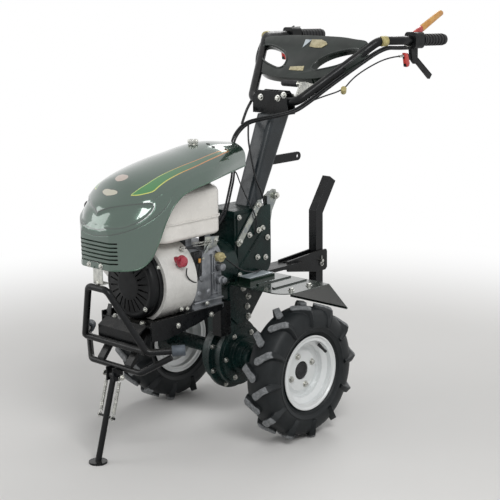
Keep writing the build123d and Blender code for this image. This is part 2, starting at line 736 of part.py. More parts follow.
@cache
def grip_control():
    """Housing, hand lever, latch and speed lever in front of the left grip."""
    start, end = Vector(*handle_turn), Vector(*handle_end)
    along = (end - start).normalized()
    face = end - along * (grip_length + 6)
    frame = Plane(face, x_dir=(1, 0, 0), z_dir=-along)
    housing = extrude(frame * RectangleRounded(46, 52, 12), 46)
    bracket = side_plate([(560, 1150), (596, 1150), (596, 1100), (584, 1092), (566, 1108)], 256, 268)
    lever = side_plate([(572, 1112), (590, 1118), (676, 1052), (664, 1038)], 257, 267)
    latch = side_plate([(528, 1130), (546, 1128), (552, 1092), (536, 1086)], 257, 267)
    link = side_plate([(528, 1130), (528, 1112), (572, 1104), (572, 1122)], 259, 265)
    speed = side_plate([(572, 1190), (590, 1178), (733, 1244), (722, 1256)], 259, 265)
    hole = rod(face - along * 60, face + along * 10, handle_tube_dia + 2 * seat_gap)
    return (housing + [bracket, lever, latch, link, speed]) - hole


def panel_plane():
    """Plane of the dash: its Y climbs from the lower edge to the upper edge."""
    climb = Vector(0, panel_upper[0] - panel_lower[0], panel_upper[1] - panel_lower[1])
    return Plane((0, panel_lower[0], panel_lower[1]), x_dir=(1, 0, 0), z_dir=Vector(1, 0, 0).cross(climb))


def dash_panel():
    """Moulded dash between the handles with two hand openings."""
    outline = [(-142, -6), (0, -18, 142, -6), (214, 112), (190, 150), (60, 160), (-60, 160), (-190, 150), (-214, 112)]
    opening = face_of([(52, 26), (62, 60), (100, 92), (152, 108), (184, 108), (176, 82), (146, 52), (108, 33)])
    plane = panel_plane()
    body = extrude(plane.offset(-panel_wall / 2) * face_of(outline), panel_wall)
    cut = extrude(plane.offset(-panel_wall) * opening, 2 * panel_wall)
    bars = handle_half_clear()
    return (body - cut - right_of(cut)) - bars - right_of(bars)


@cache
def handle_half_clear():
    """The left bar grown by the seat gap."""
    points = [(0, handle_pivot_y, handle_pivot_z), handle_knee, handle_shoulder, handle_turn, handle_end]
    return bent_bar(points, handle_bends, handle_tube_dia + 2 * seat_gap)


def adjuster_lever():
    """Triangular plate on the left knee of the handlebar with two black grips."""
    x, wall = 80.0, 6.0
    y, z = handle_pivot_y, handle_pivot_z
    plate = side_plate([(y + 4, z + 6), (y + 22, z + 10), (y + 66, z + 34), (y + 100, z + 36), (y + 100, z + 48),
                        (y + 52, z + 60), (y + 36, z + 60)], x, x + wall)
    side_bar = cross_rod(x - 78, x, y + 46, z + 52, 11)
    side_grip = cross_rod(x - 80, x - 14, y + 46, z + 52, 19)
    rear_bar = rod((x + wall / 2, y + 96, z + 42), (x + wall / 2, y + 160, z + 43), 10)
    rear_grip = rod((x + wall / 2, y + 102, z + 42), (x + wall / 2, y + 166, z + 43), 18)
    return (plate + [side_bar, side_grip, rear_bar, rear_grip]) - handle_half_clear()


def shift_bar():
    """Flat shift bar on the left side of the gearbox."""
    low, high = Vector(0, -37, 577), Vector(0, 57, 690)
    along = (high - low).normalized()
    plane = Plane((67, low.Y, low.Z), x_dir=along, z_dir=(1, 0, 0))
    length = (high - low).length
    bar = extrude(plane * Pos(length / 2, 0) * SlotCenterToCenter(length, 20), 5)
    pivot = cross_rod(gearbox_half_width, 76, low.Y, low.Z, 12)
    return (bar + pivot) - gearbox()


def selector_plate():
    """Cast selector arm behind the gearbox."""
    y = gearbox_rear_y
    arm = side_plate([(y, 640), (y + 16, 622), (y + 22, 650), (y + 46, 690), (y + 40, 716), (y, 700)], 30, 46)
    boss = cross_rod(20, 56, y + 34, 698, 22)
    return arm + boss


@cache
def fender():
    """Pressed fender: flat top, bent tail, rounded front corner, raised pad and ribs."""
    z0, z1 = fender_z, fender_z + fender_wall
    tail_y, tail_z = fender_tail
    sheet = side_plate([(fender_front_y, z0), (fender_bend_y, z0), (tail_y, tail_z), (tail_y + 2.5, tail_z + 1.6),
                        (fender_bend_y + 1.5, z1), (fender_front_y, z1)], fender_inner_x + 4, fender_outer_x)
    hem = cross_rod(fender_inner_x + 4, fender_outer_x, tail_y, tail_z, 7)
    waste = extrude(Plane.XY.offset(z0 - 10) * face_of([
        (fender_outer_x + 1, fender_front_y - 1), (fender_outer_x + 1, fender_front_y + fender_corner),
        (fender_outer_x - fender_corner * 0.29, fender_front_y + fender_corner * 0.29,
         fender_outer_x - fender_corner, fender_front_y - 1)]), 20)
    rib = [block((x - 5, x + 5), (fender_front_y + 40, fender_bend_y - 10), (z1, z1 + 4)) for x in (150, 215)]
    pad = block((fender_inner_x + 8, fender_inner_x + 58), (-40, 70), (z1, z1 + 14))
    gearbox_side = block((0, gearbox_half_width + 2 * gearbox_cover_wall + 1), (gearbox_front_y - 1, gearbox_rear_y + 1), (z0 - 1, z1 + 20))
    return (sheet + [hem] + rib + [pad]) - waste - gearbox_side


def hitch_bracket():
    """Hitch plate under the gearbox with the clevis for the drag bar."""
    half = hitch_half_width
    plate = block((-half, half), (leg_rear_y + 9, hitch_rear_y), (hitch_plate_z, gearbox_bottom_z))
    inner = drag_half_width + seat_gap
    cheek = side_plate([(hitch_rear_y - 60, hitch_plate_z - 14), (hitch_rear_y - 60, gearbox_bottom_z + 8),
                        (drag_centre_y - 10, 474), (clevis_rear_y - 4, 474), (clevis_rear_y, 466), (clevis_rear_y, 412),
                        (clevis_rear_y - 8, 404), (drag_centre_y - 20, 404)], inner, inner + clevis_wall)
    hole = Pos(0, hitch_hole_y, gearbox_bottom_z) * Cylinder(hitch_hole_dia / 2, 60)
    web = block((-inner, inner), (hitch_rear_y, drag_centre_y - drag_depth / 2 - seat_gap), (420, 426))
    gusset = block((-inner, inner), (hitch_rear_y - 6, hitch_rear_y), (420, hitch_plate_z))
    body = plate + [cheek, right_of(cheek), web, gusset]
    return body - hole - cross_rod(-40, 40, drag_centre_y, hitch_pin_z, hitch_pin_dia + 2 * pin_gap) - gear_case() - gearbox()


def drag_bar():
    """Upright depth bar held in the clevis, with its top leaning back."""
    half = drag_depth / 2
    y = drag_centre_y
    lean = math.atan2(drag_top[0] - y, drag_top[1] - drag_bend_z)
    dy, dz = half * math.cos(lean), half * math.sin(lean)
    bar = side_plate([(y - half, drag_bottom_z), (y + half, drag_bottom_z), (y + half, drag_bend_z - 6),
                      (drag_top[0] + dy, drag_top[1] - dz), (drag_top[0] - dy, drag_top[1] + dz), (y - half, drag_bend_z + 6)],
                     -drag_half_width, drag_half_width)
    return bar - cross_rod(-40, 40, y, hitch_pin_z, hitch_pin_dia + 2 * pin_gap)


def hitch_pin():
    """Pin through the clevis and the drag bar."""
    reach = drag_half_width + seat_gap + clevis_wall
    pin = cross_rod(-reach - 6, reach + 10, drag_centre_y, hitch_pin_z, hitch_pin_dia)
    head = cross_rod(-reach - 10, -reach - seat_gap, drag_centre_y, hitch_pin_z, hitch_pin_dia + 8)
    return pin + head


def all_nodes():
    """Every piece by its name."""
    left_stay = bumper_stay()
    wheel = {"tyre": on_wheel(tyre()), "rim": on_wheel(rim()), "hub": on_wheel(hub()), "axle": on_wheel(axle())}
    nodes = {}
    for name, piece in wheel.items():
        nodes[name + "_left"] = piece
        nodes[name + "_right"] = right_of(piece)
    nodes["gear_case"] = gear_case()
    nodes["fender_bracket_left"] = fender_bracket()
    nodes["fender_bracket_right"] = right_of(nodes["fender_bracket_left"])
    nodes["gearbox"] = gearbox()
    nodes["bell_housing"] = bell_housing()
    nodes["engine_crankcase"] = crankcase()
    nodes["engine_cylinder"] = cylinder()
    nodes["fan_shroud"] = fan_shroud()
    nodes["recoil_cover"] = recoil_cover()
    nodes["fuel_tank"] = fuel_tank()
    nodes["tank_cap"] = tank_cap()
    nodes["muffler"] = muffler()
    nodes["air_cleaner"] = air_cleaner()
    nodes["stop_switch"] = stop_switch()
    nodes["engine_tray"] = engine_tray()
    nodes["tray_channel"] = tray_channel()
    nodes["bumper_upper"] = bumper_upper()
    nodes["bumper_lower"] = bumper_lower()
    nodes["bumper_stays"] = Compound(children=[left_stay, right_of(left_stay)])
    nodes["stand_bracket"] = stand_bracket()
    nodes["stand_leg"] = stand_leg()
    nodes["stand_springs"] = stand_springs()
    nodes["hood"] = hood()
    nodes["hood_knob"] = hood_knob()
    nodes["hood_front_bracket"] = hood_front_bracket()
    nodes["hood_post"] = hood_post()
    nodes["column"] = column()
    nodes["column_arm"] = column_arm()
    nodes["handlebar_clamp"] = clamp()
    nodes["shift_bar"] = shift_bar()
    nodes["selector_plate"] = selector_plate()
    nodes["fender_left"] = fender()
    nodes["fender_right"] = right_of(fender())
    nodes["hitch_bracket"] = hitch_bracket()
    nodes["drag_bar"] = drag_bar()
    nodes["hitch_pin"] = hitch_pin()
    nodes["handle_left"] = handle_half()
    nodes["handle_right"] = right_of(handle_half())
    nodes["dash_panel"] = dash_panel()
    nodes["grip_left"] = grip()
    nodes["grip_right"] = right_of(grip())
    nodes["control_left"] = grip_control()
    nodes["control_right"] = right_of(grip_control())
    nodes["adjuster_lever"] = adjuster_lever()
    return nodes


nodes = all_nodes()
boxes = [piece.bounding_box() for piece in nodes.values()]
front_y = min(box.min.Y for box in boxes)
rear_y = max(box.max.Y for box in boxes)
origin_y = (front_y + rear_y) / 2
os.makedirs("parts", exist_ok=True)
for name, piece in nodes.items():
    export_step(Pos(0, -origin_y, 0) * piece, "parts/" + name + ".step")
print("origin_y", origin_y)
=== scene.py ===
"""Two-wheel walk-behind tractor: finishes, small parts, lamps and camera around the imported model."""

import logging
import math
import random
from dataclasses import dataclass
from enum import Enum
from typing import Callable, Iterable, Optional, Sequence

import bpy
import numpy as np
from mathutils import Matrix, Vector


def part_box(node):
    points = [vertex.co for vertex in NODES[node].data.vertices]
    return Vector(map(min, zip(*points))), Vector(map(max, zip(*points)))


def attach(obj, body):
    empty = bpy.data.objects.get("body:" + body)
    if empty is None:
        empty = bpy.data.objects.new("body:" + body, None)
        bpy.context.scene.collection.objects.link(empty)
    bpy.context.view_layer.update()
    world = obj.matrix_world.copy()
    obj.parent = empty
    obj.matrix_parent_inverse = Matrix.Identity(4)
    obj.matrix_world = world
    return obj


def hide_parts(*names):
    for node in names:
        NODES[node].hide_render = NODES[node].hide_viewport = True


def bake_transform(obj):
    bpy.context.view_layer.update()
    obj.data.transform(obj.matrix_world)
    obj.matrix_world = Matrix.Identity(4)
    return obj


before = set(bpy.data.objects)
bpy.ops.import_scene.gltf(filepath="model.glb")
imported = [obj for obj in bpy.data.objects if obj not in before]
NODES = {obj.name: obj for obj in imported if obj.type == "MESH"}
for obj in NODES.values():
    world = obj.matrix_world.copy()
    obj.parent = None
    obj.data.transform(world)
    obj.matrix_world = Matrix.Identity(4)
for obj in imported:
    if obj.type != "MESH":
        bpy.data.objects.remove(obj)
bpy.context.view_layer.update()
LOG = logging.getLogger("tractor")
AXLE_SHIFT = (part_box("axle_left")[0].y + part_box("axle_left")[1].y) / 2
AXLE_HEIGHT = (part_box("axle_left")[0].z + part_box("axle_left")[1].z) / 2

Colour = tuple[float, float, float, float]
Point = tuple[float, float, float]
Pair = tuple[float, float]
Spot = tuple[Point, Point]
Socket = bpy.types.NodeSocket
Piece = bpy.types.Object

# Points closer than this are welded, and a mark has this value far from its line, both in metres
WELD = 0.00002
FAR_AWAY = 9.0


class Body(Enum):
    """Moving bodies of the machine."""

    ROOT = "root"
    STAND = "stand"
    HANDLEBAR = "handlebar"
    WHEEL_LEFT = "wheel_left"
    WHEEL_RIGHT = "wheel_right"


class Side(Enum):
    """Side of the machine, with the sign of its X."""

    LEFT = 1
    RIGHT = -1

    @property
    def word(self) -> str:
        """Name ending for pieces on this side."""
        return self.name.lower()

    @property
    def wheel(self) -> Body:
        """Wheel body on this side."""
        return Body.WHEEL_LEFT if self is Side.LEFT else Body.WHEEL_RIGHT


def at(x: float, y: float, z: float) -> Vector:
    """Point in scene metres from millimetres measured from the wheel axle's middle and the floor."""
    return Vector((x / 1000, y / 1000 + AXLE_SHIFT, z / 1000))


def route(points: Iterable[Point]) -> list[Vector]:
    """Points in scene metres from points in machine millimetres."""
    return [at(*point) for point in points]


def facing(out: Point, places: Iterable[Point]) -> list[Spot]:
    """Bolt spots that all look the same way."""
    return [(place, out) for place in places]


def ring(radius: float, count: int, first: float = 0.0) -> list[Pair]:
    """Places round a circle, as (sideways, up) from its centre.

    Args:
        radius: radius of the circle.
        count: number of places.
        first: angle of the first place from the top, in degrees.

    Returns:
        The places in the unit of the radius.
    """
    turns = [math.radians(first + step * 360 / count) for step in range(count)]
    return [(math.sin(turn) * radius, math.cos(turn) * radius) for turn in turns]


def spline(a: Vector, b: Vector, c: Vector, d: Vector, t: float) -> Vector:
    """Point at a share of the way from b to c, on the smooth line through four points."""
    square, cube = 2 * a - 5 * b + 4 * c - d, 3 * b - a - 3 * c + d
    return 0.5 * (2 * b + (c - a) * t + square * t ** 2 + cube * t ** 3)


def tone(code: str) -> Colour:
    """Linear colour from a six-digit screen colour."""
    parts = [int(code[i:i + 2], 16) / 255 for i in (0, 2, 4)]
    return tuple(c / 12.92 if c <= 0.04045 else ((c + 0.055) / 1.055) ** 2.4 for c in parts) + (1.0,)


# Finishes


class Wiring:
    """Nodes and links of one node tree."""

    def __init__(self, tree: bpy.types.NodeTree) -> None:
        """Take over a tree."""
        self.tree = tree

    def node(self, kind: str, **settings: object) -> bpy.types.Node:
        """Add a node with its settings."""
        made = self.tree.nodes.new(kind)
        for key, value in settings.items():
            setattr(made, key, value)
        return made

    def feed(self, socket: Socket, value: object) -> None:
        """Give a socket a link or a plain value."""
        if isinstance(value, Socket):
            self.tree.links.new(value, socket)
        else:
            socket.default_value = value

    def math(self, operation: str, first: object, second: object = 0.0) -> Socket:
        """Arithmetic on one or two values."""
        made = self.node("ShaderNodeMath", operation=operation)
        for socket, value in zip(made.inputs, (first, second)):
            self.feed(socket, value)
        return made.outputs[0]

    def seen(self) -> Socket:
        """1 for rays from the camera, also by way of gloss or glass."""
        path = self.node("ShaderNodeLightPath").outputs
        mirrored = self.math("MAXIMUM", path["Is Glossy Ray"], path["Is Transmission Ray"])
        return self.math("MAXIMUM", path["Is Camera Ray"], mirrored)


class Recipe(Wiring):
    """Node recipe of one finish, read from Object coordinates."""

    def __init__(self, name: str) -> None:
        """Start a material with its shader.

        Args:
            name: name of the finish.
        """
        self.material = bpy.data.materials.new(name)
        self.material.use_nodes = True
        super().__init__(self.material.node_tree)
        self.shader = self.tree.nodes["Principled BSDF"]
        self.place = self.node("ShaderNodeTexCoord").outputs["Object"]

    def noise(self, size: float, detail: float = 3.0) -> Socket:
        """Noise with patches of a size in metres and a number of finer layers."""
        made = self.node("ShaderNodeTexNoise")
        self.feed(made.inputs["Vector"], self.place)
        made.inputs["Scale"].default_value = 1 / size
        made.inputs["Detail"].default_value = detail
        return made.outputs["Fac"]

    def cells(self, size: float) -> Socket:
        """Distance to the nearest point of a random cell pattern."""
        made = self.node("ShaderNodeTexVoronoi")
        self.feed(made.inputs["Vector"], self.place)
        made.inputs["Scale"].default_value = 1 / size
        return made.outputs["Distance"]

    def mark(self, name: str) -> Socket:
        """Signed distance from a line that the piece carries as an attribute, in metres."""
        return self.node("ShaderNodeAttribute", attribute_name=name).outputs["Fac"]

    def remap(self, value: Socket, low: float, high: float, to_low: float = 0.0,
              to_high: float = 1.0) -> Socket:
        """Smooth step of a value between two levels."""
        made = self.node("ShaderNodeMapRange", interpolation_type="SMOOTHSTEP")
        for key, entry in (("Value", value), ("From Min", low), ("From Max", high), ("To Min", to_low),
                           ("To Max", to_high)):
            self.feed(made.inputs[key], entry)
        return made.outputs["Result"]

    def times(self, first: object, second: object) -> Socket:
        """Product of two values."""
        return self.math("MULTIPLY", first, second)

    def plus(self, first: object, second: object) -> Socket:
        """Sum of two values."""
        return self.math("ADD", first, second)

    def distance(self, first: object, second: object) -> Socket:
        """Difference of two values without its sign."""
        return self.math("ABSOLUTE", self.math("SUBTRACT", first, second))

    def axes(self, socket: Socket) -> tuple[Socket, ...]:
        """X, Y and Z of a vector."""
        made = self.node("ShaderNodeSeparateXYZ")
        self.feed(made.inputs[0], socket)
        return tuple(made.outputs)

    def blend(self, factor: object, first: object, second: object) -> Socket:
        """Colour mixed from two colours."""
        made = self.node("ShaderNodeMix", data_type="RGBA")
        self.feed(made.inputs[0], factor)
        self.feed(made.inputs[6], first)
        self.feed(made.inputs[7], second)
        return made.outputs[2]

    def soft_edges(self, radius: float) -> Socket:
        """Normal rounded over edges by a radius in metres."""
        made = self.node("ShaderNodeBevel", samples=4)
        made.inputs["Radius"].default_value = radius
        return made.outputs["Normal"]

    def edge_mask(self, rounded: Socket) -> Socket:
        """How far the rounded normal turns from the plain one, high at edges."""
        plain = self.node("ShaderNodeNewGeometry").outputs["Normal"]
        made = self.node("ShaderNodeVectorMath", operation="DOT_PRODUCT")
        self.feed(made.inputs[0], rounded)
        self.feed(made.inputs[1], plain)
        return self.remap(made.outputs["Value"], 0.995, 0.93)

    def upward(self) -> Socket:
        """How far a face looks up."""
        normal = self.node("ShaderNodeNewGeometry").outputs["Normal"]
        return self.remap(self.axes(normal)[2], 0.35, 0.95)

    def bump(self, height: Socket, depth: float, under: Socket) -> Socket:
        """Bumped normal.

        Args:
            height: pattern from 0 to 1.
            depth: its real depth in metres.
            under: normal it is laid on.

        Returns:
            The normal socket.
        """
        made = self.node("ShaderNodeBump")
        for key, entry in (("Strength", 1.0), ("Distance", depth), ("Height", height), ("Normal", under)):
            self.feed(made.inputs[key], entry)
        return made.outputs["Normal"]


@dataclass(frozen=True)
class Finish:
    """Surface with slow patches of tone, fine grain, rubbed edges and settled dust."""

    name: str
    slot: str
    colour: str
    patch: str
    patch_size: float = 0.05
    rough: tuple[float, float] = (0.35, 0.45)
    metallic: float = 0.0
    specular: float = 0.5
    coat: float = 0.0
    coat_rough: float = 0.04
    coat_index: float = 1.5
    grain_size: float = 0.0012
    grain_depth: float = 0.00004
    edge: float = 0.0012
    wear: float = 0.0
    wear_colour: str = "a9adb0"
    dust: float = 0.0
    dust_colour: str = "a39f97"

    def surface(self, recipe: Recipe) -> tuple[Socket, Socket]:
        """Colour and roughness before wear and dust."""
        mottle = recipe.remap(recipe.noise(self.patch_size, 4), 0.35, 0.68)
        colour = recipe.blend(mottle, tone(self.colour), tone(self.patch))
        rough = recipe.remap(recipe.noise(self.patch_size * 0.4, 3), 0.3, 0.7, self.rough[0], self.rough[1])
        return colour, rough

    def height(self, recipe: Recipe) -> Socket:
        """Fine grain of the surface."""
        return recipe.noise(self.grain_size, 2)

    def make(self) -> bpy.types.Material:
        """Build the material.

        Returns:
            The finished material.
        """
        recipe = Recipe(self.name)
        colour, rough = self.surface(recipe)
        rounded = recipe.soft_edges(self.edge)
        if self.wear:
            chips = recipe.times(recipe.edge_mask(rounded), recipe.remap(recipe.noise(0.006, 5), 0.42, 0.6))
            colour = recipe.blend(recipe.times(chips, self.wear), colour, tone(self.wear_colour))
        if self.dust:
            settled = recipe.times(recipe.upward(), recipe.remap(recipe.noise(0.03, 5), 0.3, 0.8))
            film = recipe.times(settled, self.dust)
            colour = recipe.blend(film, colour, tone(self.dust_colour))
            rough = recipe.plus(rough, recipe.times(film, 0.35))
        normal = recipe.bump(self.height(recipe), self.grain_depth, rounded)
        for key, value in (("Base Color", colour), ("Roughness", rough), ("Normal", normal),
                           ("Metallic", self.metallic), ("Specular IOR Level", self.specular),
                           ("Coat Weight", self.coat), ("Coat Roughness", self.coat_rough),
                           ("Coat IOR", self.coat_index)):
            recipe.feed(recipe.shader.inputs[key], value)
        return recipe.material


@dataclass(frozen=True)
class CastFinish(Finish):
    """Painted or bare casting with a sand-cast skin."""

    def height(self, recipe: Recipe) -> Socket:
        """Round pits of the mould over a slow unevenness."""
        pits = recipe.remap(recipe.cells(self.grain_size), 0.1, 0.6)
        return recipe.plus(pits, recipe.noise(0.012, 3))


@dataclass(frozen=True)
class TyreRubber(Finish):
    """Charcoal rubber with pale dry dust on the tops of the lugs."""

    wheel_x: float = 0.285
    lug_top: float = 0.2005
    lug_fade: float = 0.0035
    shoulder_fall: float = 25.0
    wobble: float = 0.006
    dusty: tuple[str, str] = ("6f7274", "8b8d8f")

    def surface(self, recipe: Recipe) -> tuple[Socket, Socket]:
        """Dusty where the surface is far from the axle, dark elsewhere."""
        x, y, z = recipe.axes(recipe.place)
        dy, dz = recipe.distance(y, AXLE_SHIFT), recipe.distance(z, AXLE_HEIGHT)
        radius = recipe.math("SQRT", recipe.plus(recipe.times(dy, dy), recipe.times(dz, dz)))
        across = recipe.distance(recipe.math("ABSOLUTE", x), self.wheel_x)
        height = recipe.plus(radius, recipe.times(recipe.math("POWER", across, 3.0), self.shoulder_fall))
        wobble = recipe.times(recipe.math("SUBTRACT", recipe.noise(0.012, 4), 0.5), self.wobble)
        top = recipe.remap(recipe.plus(height, wobble), self.lug_top, self.lug_top + self.lug_fade)
        mottle = recipe.remap(recipe.noise(0.03, 5), 0.3, 0.75)
        dark = recipe.blend(mottle, tone(self.colour), tone(self.patch))
        pale = recipe.blend(recipe.remap(recipe.noise(0.007, 5), 0.35, 0.7), *map(tone, self.dusty))
        rough = recipe.remap(top, 0.0, 1.0, self.rough[0], self.rough[1])
        return recipe.blend(top, dark, pale), rough


@dataclass(frozen=True)
class HoodPaint(Finish):
    """Metallic green with a tapering stripe on each side, pressed grooves and a sunk band round the nose, and
    painted shade drawn dark along the groove and the edge of the band.
    """

    flake_size: float = 0.0011
    stripe: str = "2c8034"
    stripe_ends: Pair = (-0.46, -0.2)
    stripe_lines: tuple[tuple[str, float, str], ...] = (
        ("upper", 0.0008, "b9cf70"), ("lower", 0.0012, "d2d35a"))
    warm: str = "c9803c"
    warm_ends: Pair = (-0.4, -0.25)
    # Dark strokes along the groove and the edge of the sunk band: painted shade in the pressed lines.
    pressed_lines: tuple[tuple[str, float], ...] = (("groove", 0.0006), ("recess", 0.0009))
    pressed_dark: str = "101c16"
    badges: tuple[tuple[str, str, str], ...] = (("oval", "bdb9a6", "1a2420"), ("star", "b7a79b", "39463f"))

    @staticmethod
    def stroke(recipe: Recipe, name: str, width: float, strength: float) -> Socket:
        """Share of a thin line that ends where its mark ends."""
        near = recipe.math("ABSOLUTE", recipe.mark(name))
        ended = recipe.remap(recipe.mark(f"{name}_past"), 0.0002, 0.0014, 1.0, 0.0)
        return recipe.times(recipe.remap(near, width, width + 0.0007, strength, 0.0), ended)

    def surface(self, recipe: Recipe) -> tuple[Socket, Socket]:
        """Base paint, the bright tapering stripe and its yellow lines, and painted shade drawn dark along the
        groove and the edge of the sunk band.
        """
        _, y, _ = recipe.axes(recipe.place)
        front, back = (AXLE_SHIFT + end for end in self.stripe_ends)
        flake = recipe.remap(recipe.cells(self.flake_size), 0.0, 0.7)
        base = recipe.blend(recipe.times(flake, 0.5), tone(self.colour), tone(self.patch))
        upper, lower = recipe.mark("upper"), recipe.mark("lower")
        above, below = recipe.remap(upper, 0.0005, -0.0005), recipe.remap(lower, -0.0005, 0.0005)
        inside = recipe.times(above, below)
        fade = recipe.remap(y, front, back, 0.9, 0.2)
        colour = recipe.blend(recipe.times(inside, fade), base, tone(self.stripe))
        behind = recipe.remap(y, *(AXLE_SHIFT + end for end in self.warm_ends))
        for name, width, code in self.stripe_lines:
            warm = recipe.blend(behind, tone(code), tone(self.warm))
            colour = recipe.blend(self.stroke(recipe, name, width, 0.9), colour, warm)
        # Painted shade: dark strokes along the groove and the edge of the sunk band.
        for name, width in self.pressed_lines:
            colour = recipe.blend(self.stroke(recipe, name, width, 0.85), colour, tone(self.pressed_dark))
        for name, inner, border in self.badges:
            spot = recipe.mark(name)
            colour = recipe.blend(recipe.remap(spot, 0.0012, 0.0004), colour, tone(border))
            colour = recipe.blend(recipe.remap(spot, -0.0006, -0.0014), colour, tone(inner))
        rough = recipe.remap(recipe.noise(0.05, 3), 0.3, 0.7, self.rough[0], self.rough[1])
        return colour, rough

    def height(self, recipe: Recipe) -> Socket:
        """Pressed band and grooves over a faint orange peel."""
        band = recipe.remap(recipe.mark("recess"), -0.002, 0.005)
        groove = recipe.remap(recipe.math("ABSOLUTE", recipe.mark("groove")), 0.0, 0.0028)
        crease = recipe.remap(recipe.math("ABSOLUTE", recipe.mark("crease")), 0.0, 0.008, 0.5, 0.0)
        pressed = recipe.plus(recipe.plus(band, recipe.times(groove, 0.6)), crease)
        return recipe.plus(pressed, recipe.times(recipe.noise(self.grain_size, 2), 0.02))


HOOD_GREEN = HoodPaint(
    "hood_green", "green_paint", "1f3a2f", "42604f", rough=(0.16, 0.24), metallic=0.55, specular=0.5,
    coat=1.0, coat_rough=0.03, coat_index=1.8, grain_size=0.004, grain_depth=0.0022, edge=0.0015)
HOOD_RIM = Finish(
    "hood_rim", "green_paint", "3c5648", "557060", 0.05, (0.2, 0.3), 0.3, coat=0.4, grain_size=0.003,
    grain_depth=0.00002, edge=0.001)
# Near-black green of the sheet behind the louvres and of the vent discs: painted shade of the openings.
OPENING_SHADE = Finish(
    "louvre_dark", "black_plastic", "0b1210", "121b18", 0.02, (0.4, 0.55), specular=0.3, edge=0.0008)
PANEL_GREEN = Finish(
    "panel_green", "green_paint", "12231b", "192d24", 0.08, (0.14, 0.24), specular=0.35, grain_size=0.004,
    grain_depth=0.00003, edge=0.0014, dust=0.06, coat=0.8, coat_rough=0.10, coat_index=1.7)
CASTING_GREEN = CastFinish(
    "casting_green", "green_casting", "0a1c1b", "122927", 0.05, (0.20, 0.34), specular=0.3,
    grain_size=0.0022, grain_depth=0.00012, edge=0.0022, dust=0.06)
GEARBOX_GREEN = CastFinish(
    "gearbox_green", "green_gearbox", "0a1a18", "112825", 0.06, (0.20, 0.36), specular=0.2,
    grain_size=0.0022, grain_depth=0.00012, edge=0.0022, dust=0.06)
DASH_GREEN = Finish(
    "dash_green", "green_plastic", "0a1611", "111f19", 0.06, (0.12, 0.2), specular=0.25, grain_size=0.003,
    grain_depth=0.00002, edge=0.003, dust=0.05, coat=0.3, coat_rough=0.03, coat_index=1.5)
SATIN_BLACK = Finish(
    "satin_black", "black_paint", "08090b", "101214", 0.05, (0.22, 0.36), specular=0.22,
    grain_size=0.0016, grain_depth=0.00005, edge=0.0012, wear=0.2, wear_colour="6b6f73", dust=0.08)
COLUMN_BLACK = Finish(
    "column_black", "black_paint", "1b2023", "262c30", 0.08, (0.24, 0.38), specular=0.35,
    grain_size=0.0016, grain_depth=0.00005, edge=0.002, dust=0.08)
CABLE_BLACK = Finish(
    "cable_black", "rubber", "141517", "1e2022", 0.02, (0.40, 0.55), specular=0.35, grain_size=0.0012,
    grain_depth=0.00006, edge=0.0005)
COARSE_PLASTIC = Finish(
    "coarse_plastic", "black_plastic", "08090b", "0f1113", 0.04, (0.36, 0.52), specular=0.22,
    grain_size=0.0009, grain_depth=0.00008, edge=0.0012, dust=0.06)
TANK_WHITE = Finish(
    "tank_white", "white_plastic", "dddad4", "e6e3dd", 0.07, (0.20, 0.32), coat=0.4, coat_rough=0.08,
    grain_size=0.003, grain_depth=0.00003, edge=0.002, dust=0.08, dust_colour="8d877b")
SHROUD_WHITE = Finish(
    "shroud_white", "white_plastic", "d0cfcb", "dad9d5", 0.07, (0.22, 0.34), coat=0.4, coat_rough=0.08,
    grain_size=0.003, grain_depth=0.00003, edge=0.002, dust=0.08, dust_colour="8d877b")
BARE_ALLOY = CastFinish(
    "bare_alloy", "engine_alloy", "75787c", "93969a", 0.03, (0.34, 0.5), 0.75, grain_size=0.0018,
    grain_depth=0.00014, edge=0.0018, dust=0.12, dust_colour="6b675f")
RIM_SILVER = Finish(
    "rim_silver", "rim_silver", "dcdfdf", "e4e6e6", 0.12, (0.28, 0.33), 0.15, coat=0.4, coat_rough=0.15,
    grain_size=0.0012, grain_depth=0.00003, edge=0.0014, dust=0.05)
BRIGHT_ZINC = Finish(
    "bright_zinc", "zinc", "a9aaa6", "c9c9c2", 0.012, (0.20, 0.38), 0.95, grain_size=0.0008,
    grain_depth=0.00003, edge=0.0006)
SHIFT_ZINC = Finish(
    "shift_zinc", "zinc", "84898a", "a3a69c", 0.02, (0.28, 0.44), 0.85, grain_size=0.001,
    grain_depth=0.00003, edge=0.001)
GRIP_RUBBER = Finish(
    "grip_rubber", "rubber", "121214", "1b1c1e", 0.02, (0.5, 0.68), specular=0.4, grain_size=0.0007,
    grain_depth=0.00006, edge=0.0015, dust=0.06)
TYRE_BLACK = TyreRubber(
    "tyre_black", "tyre", "121618", "1a1e20", 0.03, (0.50, 0.82), specular=0.28, grain_size=0.0011,
    grain_depth=0.0001, edge=0.002)
SIGNAL_RED = Finish(
    "signal_red", "red_plastic", "8f1a30", "ab2b40", 0.02, (0.24, 0.36), coat=0.3, grain_size=0.001,
    grain_depth=0.00002, edge=0.001)
LATCH_RED = Finish(
    "latch_red", "red_plastic", "b3201f", "c93a30", 0.02, (0.28, 0.4), coat=0.2, grain_size=0.001,
    grain_depth=0.00002, edge=0.001)
LEVER_ORANGE = Finish(
    "lever_orange", "red_plastic", "c98a3c", "d9a75c", 0.02, (0.28, 0.4), coat=0.2, grain_size=0.001,
    grain_depth=0.00002, edge=0.001)
PALE_BAND = Finish(
    "pale_band", "rubber", "a89c66", "c2b67c", 0.01, (0.4, 0.55), grain_size=0.0008, grain_depth=0.00004,
    edge=0.0006)
OIL_YELLOW = Finish(
    "oil_yellow", "black_plastic", "a79c72", "bcb184", 0.01, (0.3, 0.45), grain_size=0.001,
    grain_depth=0.00003, edge=0.001)
PLATE_BLANK = Finish(
    "plate_blank", "zinc", "a9b3b9", "c3ccd1", 0.03, (0.28, 0.4), 0.2, grain_size=0.002,
    grain_depth=0.00002, edge=0.0008)
